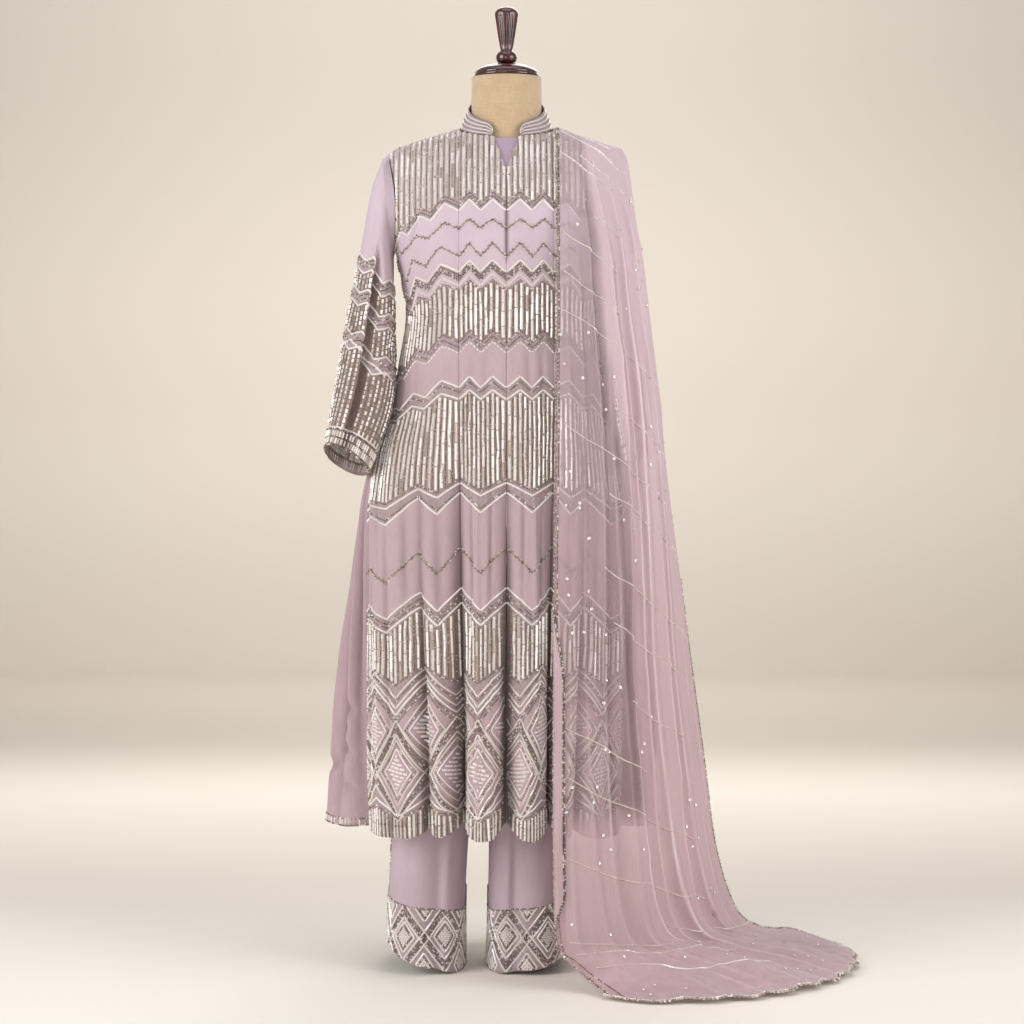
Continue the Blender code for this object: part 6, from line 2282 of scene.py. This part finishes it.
    def build(self, shop: Workshop) -> None:
        """Builds the scarf, its turned front strip and its beadwork."""
        tree = shop.tree("kameez_front_centre_left", "kameez_front_side_left",
                         "kameez_side_gore_left", "kameez_back_side_left",
                         "kameez_back_centre_left", "kameez_sleeve_left")
        first = np.linspace(0.0, 17.0, 220)
        places = np.concatenate([first, np.linspace(17.05, 20.0, 60)])
        u = np.concatenate([np.linspace(0.0, 0.05, 5)[:-1], np.linspace(0.05, 0.95, 84),
                            np.linspace(0.95, 1.0, 5)[1:]])
        points = self.laid(self.guide(places, u), places, u, tree)
        weave = Weave(points, heart=self.heart)
        out = weave.normals.copy()
        high = (places > 16.8)[:, None]
        flip = np.where(high & (out[..., 2] < -0.2), -1.0, 1.0)
        depth, crest = self.creases(places, u)
        points = points + out * (depth * flip)[..., None]
        points = self.scalloped(points, places, u)
        points[..., 2] = np.maximum(points[..., 2], 0.0012)
        p, a = places[:, None], u[None]
        from_here = 0.28 + 0.12 * smooth(10.0, 13.0, p)
        near = 0.47 - 0.08 * smooth(12.8, 13.8, p)
        cover = near + (0.94 - near) * smooth(0.0, 0.12, a - from_here)
        cover = cover + (0.94 - cover) * (smooth(15.2, 15.55, p) + 1.0 - smooth(5.6, 7.2, p))
        # Painted shade: lowers the crest mark over the inner part of the fall from place 15.3 to
        # 18, where it hangs below the kameez hem.
        crest = crest - 0.42 * smooth(15.3, 15.6, p) * (1.0 - smooth(0.26, 0.46, a)) * (
            1.0 - smooth(17.0, 18.0, p))
        marks = {"cover": cover, "crest": crest}
        weave = Weave(points, heart=self.heart, marks=marks)
        tray = BeadTray(211)
        self.sew_edges(tray, weave, places, u)
        self.sew_lines(tray, weave, places, u)
        beads = shop.put(tray.mesh("dupatta_beads"), BEADS)
        tray = BeadTray(223)
        self.scatter(tray, weave, u)
        sequins = shop.put(tray.mesh("dupatta_sequins"), SEQUINS)
        strip = self.turned_strip(shop, weave, places, u)
        shop.cloth("dupatta_cloth", weave, VEIL,
                   ["dupatta_back_fall", "dupatta_shoulder",
                                     "dupatta_front_fall", "dupatta_train"])

    def scalloped(self, points: Array, places: Array, u: Array) -> Array:
        """Cuts the train's end and outer edge into scallops."""
        made = points.copy()
        share = smooth(19.0, 20.0, places)[:, None]
        end = np.abs(np.sin(math.pi * self.scallops * 0.5 * u))[None]
        along = unit(np.gradient(points, axis=0))
        made = made - along * (self.scallop_depth * (1.0 - end) * share)[..., None]
        edge = smooth(0.955, 1.0, u)[None]
        wave = np.abs(np.sin(math.pi * 7.0 * (places - 16.6) / 3.4))[:, None]
        across = unit(np.gradient(points, axis=1))
        train = smooth(16.6, 16.9, places)[:, None] * (1.0 - share)
        made = made - across * (0.010 * (1.0 - wave) * edge * train)[..., None]
        return made

    def sew_edges(self, tray: BeadTray, weave: Weave, places: Array, u: Array) -> None:
        """A beaded border along the inner edge, the outer edge and the scalloped end."""
        rows = np.arange(len(places))
        columns = np.arange(len(u))

        def border(row: Number, column: Number, thread: Thread) -> None:
            """One line of the border, at an even pitch."""
            row, column = np.broadcast_arrays(row, column)
            run = run_along(weave.at(row, column)[0])
            marks = np.linspace(0.0, run[-1], int(run[-1] / 0.0036))
            tray.sew(*weave.along(row, column, run, marks), thread)

        low = np.linspace(0.0, rows[-1], 900)
        train = low[low > np.interp(13.2, places, rows)]
        border(train, columns[-1] - 0.3, Thread.CHAIN)
        for off, thread in ((0.3, Thread.CHAIN), (1.1, Thread.BRONZE)):
            border(low, off, thread)
        across = np.linspace(0.0, columns[-1], 400)
        for off, thread in ((0.15, Thread.CHAIN), (0.7, Thread.BRONZE), (1.3, Thread.LILAC)):
            border(rows[-1] - off, across, thread)
            border(off * 0.6, across, thread)

    def sew_lines(self, tray: BeadTray, weave: Weave, places: Array, u: Array) -> None:
        """Thin broken lines of beads that run slanting down the scarf."""
        for start in np.arange(0.2, 18.6, 0.62):
            start = start + float(tray.chance.normal(0.0, 0.10))
            low, high = 0.04, float(tray.chance.uniform(0.45, 0.9))
            if tray.chance.random() < 0.45:
                low, high = float(tray.chance.uniform(0.25, 0.5)), 0.97
            a = np.linspace(low, high, 90)
            place = start + 1.15 * a + 0.014 * np.sin(19.0 * a + 7.0 * start)
            if place[-1] > 19.6:
                continue
            row = np.interp(place, places, np.arange(len(places)))
            column = np.interp(a, u, np.arange(len(u)))
            points, normals = weave.at(row, column)
            tray.cord(points, normals, 0.0024, 0.0016, 0.80)
            along = unit(np.gradient(points, axis=0))
            keep = tray.chance.random(len(points)) < 0.22
            tray.pips(points[keep], along[keep], normals[keep], 0.0048, 0.0030, 0.0026, 0.98)

    def scatter(self, tray: BeadTray, weave: Weave, u: Array) -> None:
        """Single white sequins over the whole scarf."""
        p = weave.points
        cell = np.linalg.norm(np.cross(p[1:, :-1] - p[:-1, :-1], p[:-1, 1:] - p[:-1, :-1]), axis=-1)
        pick = tray.chance.choice(cell.size, 150, p=(cell / cell.sum()).ravel())
        row = pick // cell.shape[1] + tray.chance.random(150)
        column = np.clip(pick % cell.shape[1] + tray.chance.random(150), 2.0, len(u) - 3.0)
        points, normals = weave.at(row, column)
        tray.discs(points, normals, 0.0027, 0.0014, 0.99)

    def turned_strip(self, shop: Workshop, weave: Weave, places: Array,
                     u: Array) -> list[bpy.types.Object]:
        """The inner edge folded back to the front, with its border showing."""
        row = np.interp(np.linspace(self.turned_from, 16.6, 90), places, np.arange(len(places)))
        share = np.linspace(0.0, 1.0, 90)
        width = self.turned_width * smooth(0.0, 0.25, share) * (
            1.0 - 0.9 * smooth(0.86, 1.0, share))
        step = np.linspace(0.0, 1.0, 7)
        column = np.interp(0.0, u, np.arange(len(u))) + np.zeros(90)
        edge, normals = weave.at(row, column)
        inward = weave.at(row, column + 3.0)[0] - edge
        inward = unit(inward)
        lift = 0.0028 * np.sin(math.pi * np.minimum(step * 1.3, 0.5)) + 0.0004
        points = (edge[:, None] + inward[:, None] * (width[:, None] * step[None])[..., None]
                  + normals[:, None] * lift[None, :, None])
        # The crest mark of 0.25 gives the whole strip a mild painted highlight.
        strip = Weave(points, heart=self.heart, marks={
            "cover": np.full(points.shape[:2], 0.85), "crest": np.full(points.shape[:2], 0.25)})
        tray = BeadTray(229)
        rows = np.linspace(2.0, 88.0, 250)
        for off, thread in ((5.8, Thread.BRONZE), (5.2, Thread.BRONZE)):
            tray.sew(*strip.at(rows, off), thread)
        beads = shop.put(tray.mesh("dupatta_turned_beads"), BEADS)
        piece = shop.cloth("dupatta_turned_edge", strip, VEIL)
        return [beads, piece]


# Dress form


@dataclass
class DressForm:
    """The padded body with its wooden cap and handle.

    rings holds rings from the bottom up, with the same seven values as the kameez's levels.
    """

    rings: Array = field(default_factory=lambda: np.array([
        (0.815, 0.140, 0.140, 0.092, 0.098, 2.2, 0.0),
        (0.822, 0.147, 0.147, 0.098, 0.104, 2.2, 0.0),
        (0.870, 0.154, 0.154, 0.104, 0.112, 2.2, 0.0),
        (0.940, 0.152, 0.152, 0.102, 0.108, 2.2, 0.0),
        (1.000, 0.142, 0.142, 0.098, 0.098, 2.2, 0.0),
        (1.060, 0.133, 0.133, 0.095, 0.088, 2.2, 0.0),
        (1.115, 0.129, 0.129, 0.095, 0.084, 2.2, 0.0),
        (1.170, 0.137, 0.135, 0.103, 0.086, 2.2, 0.0),
        (1.225, 0.152, 0.150, 0.119, 0.092, 2.2, 0.0),
        (1.285, 0.170, 0.168, 0.114, 0.097, 2.2, 0.0),
        (1.338, 0.187, 0.185, 0.102, 0.097, 2.1, 0.001),
        (1.373, 0.191, 0.186, 0.085, 0.088, 1.9, 0.003),
        (1.3948, 0.188, 0.183, 0.072, 0.078, 1.8, 0.006),
        (1.4111, 0.156, 0.152, 0.068, 0.073, 1.8, 0.010),
        (1.4195, 0.106, 0.106, 0.063, 0.066, 1.9, 0.014),
        (1.4280, 0.070, 0.070, 0.060, 0.061, 2.0, 0.018),
        (1.4500, 0.0605, 0.0605, 0.059, 0.059, 2.0, 0.010),
        (1.4850, 0.0595, 0.0595, 0.058, 0.058, 2.0, 0.0),
        (1.5230, 0.0590, 0.0590, 0.057, 0.057, 2.0, 0.0)]))
    cap_z: float = 1.5233
    cap_radius: float = 0.0550
    cap_height: float = 0.0235
    ball_radius: float = 0.0180
    handle_foot: float = 0.0105
    handle_top: float = 0.0205
    top_z: float = 1.643

    def build(self, shop: Workshop) -> None:
        """Builds the body, the cap and the handle."""
        girth = np.arange(0.0, 360.0, 3.0)
        level = even_places(self.rings, 0.0, len(self.rings) - 1.0, 0.012, 3)
        rows = spline(self.rings, level)
        points = ring(rows[:, None, :], np.broadcast_to(girth, (len(level), len(girth))))
        low = points[:1].mean(axis=1, keepdims=True)
        high = points[-1:].mean(axis=1, keepdims=True)
        points = np.concatenate([low + (points[:1] - low) * 0.02, low + (points[:1] - low) * 0.92,
                                 points, high + (points[-1:] - high) * 0.96,
                                 high + (points[-1:] - high) * 0.02])
        points[-2:, :, 2] += 0.0001
        shop.put(Weave(points, closed=True).mesh("form_padded_body"), COTTON,
                 ["form_body"])
        self.seams(shop, rows)
        self.cap(shop)
        self.handle(shop)

    def seams(self, shop: Workshop, rows: Array) -> None:
        """Two fine seams up the neck, where the cover's panels meet."""
        tray = BeadTray(307)
        tall = rows[rows[:, 0] > 1.432]
        for turn in (90.0, 268.0):
            line = ring(tall[:, None, :], np.full((len(tall), 1), turn))[:, 0]
            away = unit(line * np.array([1.0, 1.0, 0.0]))
            tray.cord(line, away, 0.0016, 0.0005, 0.7)
        shop.put(tray.mesh("form_neck_seams"), COTTON)

    @staticmethod
    def lathe(profile: Array, sides: int, flute: float = 0.0, flutes: int = 12,
              low: float = 0.0, high: float = 1.0) -> Array:
        """Turns a profile of radius and height, with optional flutes between two heights."""
        turn = np.linspace(0.0, 2.0 * math.pi, sides, endpoint=False)
        r, z = profile[:, 0][:, None], profile[:, 1][:, None]
        groove = flute * (0.5 + 0.5 * np.cos(flutes * turn))[None]
        worked = smooth(low, low + 0.006, z) * (1.0 - smooth(high - 0.006, high, z))
        r = np.maximum(r - groove * worked, 0.0002)
        return np.stack([r * np.cos(turn)[None], r * np.sin(turn)[None],
                         z * np.ones_like(turn)[None]], axis=-1)

    def cap(self, shop: Workshop) -> None:
        """The turned cap on the neck, with a bead at its rim and a groove."""
        z, h, r = self.cap_z, self.cap_height, self.cap_radius
        rim = 0.006
        profile = [(0.0004, z), (r - 0.003, z), (r - 0.001, z + 0.0006), (r, z + 0.002),
                   (r, z + rim - 0.001), (r - 0.0012, z + rim), (r - 0.0012, z + rim + 0.0012)]
        for i in range(1, 22):
            turn = math.radians(4.0 + 86.0 * i / 21.0)
            profile.append(((r - 0.0008) * math.cos(turn) + 0.0002,
                            z + rim + (h - rim) * math.sin(turn)))
        profile.append((0.0004, z + h))
        points = self.lathe(np.array(profile), 64)
        shop.put(Weave(points, closed=True).mesh("form_turned_cap"), WOOD,
                 ["form_cap"])

    def handle(self, shop: Workshop) -> None:
        """The ball and the fluted handle above it."""
        foot = self.cap_z + self.cap_height + 0.0003
        ball = self.ball_radius
        middle, neck, top = foot + 0.55 * ball, foot + 1.15 * ball, self.top_z
        profile = [(0.0004, foot), (ball * 0.60, foot), (ball * 0.66, foot + 0.0008)]
        for i in range(1, 12):
            turn = math.radians(-52.0 + 100.0 * i / 12.0)
            profile.append((ball * (0.30 + 0.70 * math.cos(turn)),
                            middle + (middle - foot) * 1.05 * math.sin(turn) / 0.82))
        profile += [(self.handle_foot + 0.0012, neck), (self.handle_foot, neck + 0.001),
                    (self.handle_foot, neck + 0.004)]
        for share in np.linspace(0.08, 1.0, 18):
            z = neck + 0.004 + (top - 0.013 - neck - 0.004) * share
            swell = share ** 0.85
            profile.append((self.handle_foot + (self.handle_top - self.handle_foot) * swell, z))
        for i in range(1, 9):
            turn = math.radians(90.0 * i / 8.0)
            profile.append((max(0.0004, self.handle_top * math.cos(turn) ** 0.8),
                            top - 0.013 + 0.013 * math.sin(turn)))
        points = self.lathe(np.array(profile), 72, 0.0014, 12, neck + 0.006, top - 0.010)
        shop.put(Weave(points, closed=True).mesh("form_handle"), WOOD,
                 ["form_finial"])


# Studio


@dataclass
class Studio:
    """A seamless pale floor and wall, soft lights and the camera."""

    distance: float = 4.5
    eye: float = 0.95
    lens: float = 91.97
    tilt: float = 2.167
    pan: float = 0.12
    wall_y: float = 6.0
    sweep: float = 1.0

    def build(self, shop: Workshop) -> None:
        """Sets the backdrop, the lights and the camera."""
        self.backdrop()
        axis = shop.axis
        x, y = float(axis[0]), float(axis[1])
        for name, place, size, power, aim in (
                ("left", (-3.0, -1.9, 1.9), 2.2, 76.0, (0.0, 0.0, 0.85)),
                ("right", (3.0, -1.7, 1.8), 2.2, 56.0, (0.0, 0.0, 0.85)),
                ("top", (0.0, -0.6, 3.7), 2.4, 20.0, (0.0, 0.0, 0.6)),
                ("front", (-0.7, -4.8, 1.2), 1.6, 22.0, (0.0, 0.0, 0.6)),
                ("back", (0.6, 3.4, 3.2), 2.4, 34.0, (0.0, 0.0, 0.8)),
                ("wall", (0.0, 2.6, 3.2), 3.0, 96.0, (-0.3, 6.0, 1.0))):
            self.light(name, (x + place[0], y + place[1], place[2]), size, power,
                       (x + aim[0], y + aim[1], aim[2]))
        self.world()
        self.camera(axis)

    def backdrop(self) -> None:
        """A floor that sweeps up into a wall."""
        flat = np.linspace(-3.0, self.wall_y - self.sweep, 10)
        profile = [(-6.0, 0.0)] + [(y, 0.0) for y in flat]
        for i in range(1, 17):
            turn = math.radians(90.0 * i / 16.0)
            profile.append((self.wall_y - self.sweep + self.sweep * math.sin(turn),
                            self.sweep - self.sweep * math.cos(turn)))
        profile += [(self.wall_y, 3.0), (self.wall_y, 6.0)]
        line = np.array(profile)
        x = np.linspace(-7.0, 7.0, 15)
        points = np.stack(np.broadcast_arrays(x[None], line[:, 0][:, None], line[:, 1][:, None]),
                          axis=-1)
        weave = Weave(points, heart=None)
        mesh = weave.mesh("studio_backdrop")
        mesh.materials.append(STUDIO.material())
        piece = bpy.data.objects.new("studio_backdrop", mesh)
        bpy.context.scene.collection.objects.link(piece)

    @staticmethod
    def light(name: str, place: Sequence[float], size: float, power: float,
              at: Sequence[float]) -> None:
        """One soft square light."""
        lamp = bpy.data.lights.new(name, "AREA")
        lamp.shape, lamp.size, lamp.energy, lamp.color = "SQUARE", size, power, LAMP_COLOUR
        piece = bpy.data.objects.new(name, lamp)
        piece.location = place
        piece.rotation_euler = (Vector(at) - Vector(place)).to_track_quat("-Z", "Y").to_euler()
        bpy.context.scene.collection.objects.link(piece)

    @staticmethod
    def world() -> None:
        """A soft warm sky light."""
        world = bpy.data.worlds.new("studio_air")
        world.use_nodes = True
        ground = world.node_tree.nodes["Background"]
        ground.inputs["Color"].default_value = (*linear(250, 248, 246), 1.0)
        ground.inputs["Strength"].default_value = 0.34
        bpy.context.scene.world = world

    def camera(self, axis: Array) -> None:
        """The camera, at the height and distance of the view."""
        data = bpy.data.cameras.new("camera")
        data.lens, data.sensor_width = self.lens, SENSOR_MM
        piece = bpy.data.objects.new("camera", data)
        piece.location = (axis[0], axis[1] - self.distance, self.eye)
        piece.rotation_euler = (math.radians(90.0 - self.tilt), 0.0, math.radians(-self.pan))
        bpy.context.scene.collection.objects.link(piece)
        bpy.context.scene.camera = piece


def main() -> None:
    """Builds every piece in order."""
    logging.basicConfig(level=logging.INFO, format="%(message)s", stream=sys.stdout)
    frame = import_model()
    scene = bpy.context.scene
    scene.view_settings.view_transform = "Standard"
    shop = Workshop(frame)
    Studio().build(shop)
    DressForm().build(shop)
    kameez = Kameez()
    kameez.build(shop)
    Collar().build(shop)
    Slip().build(shop, kameez.levels)
    for side in Side:
        Sleeve(side, SLEEVE_RINGS[side]).build(shop, kameez)
    Trousers().build(shop)
    Dupatta().build(shop)
    for name in ("stand_post_right", "stand_post_left", "stand_foot_right", "stand_foot_left"):
        node = frame["nodes"][name]
        node.data.materials.clear()
        node.data.materials.append(shop.finish(STEEL))


if __name__ == "__main__":
    main()
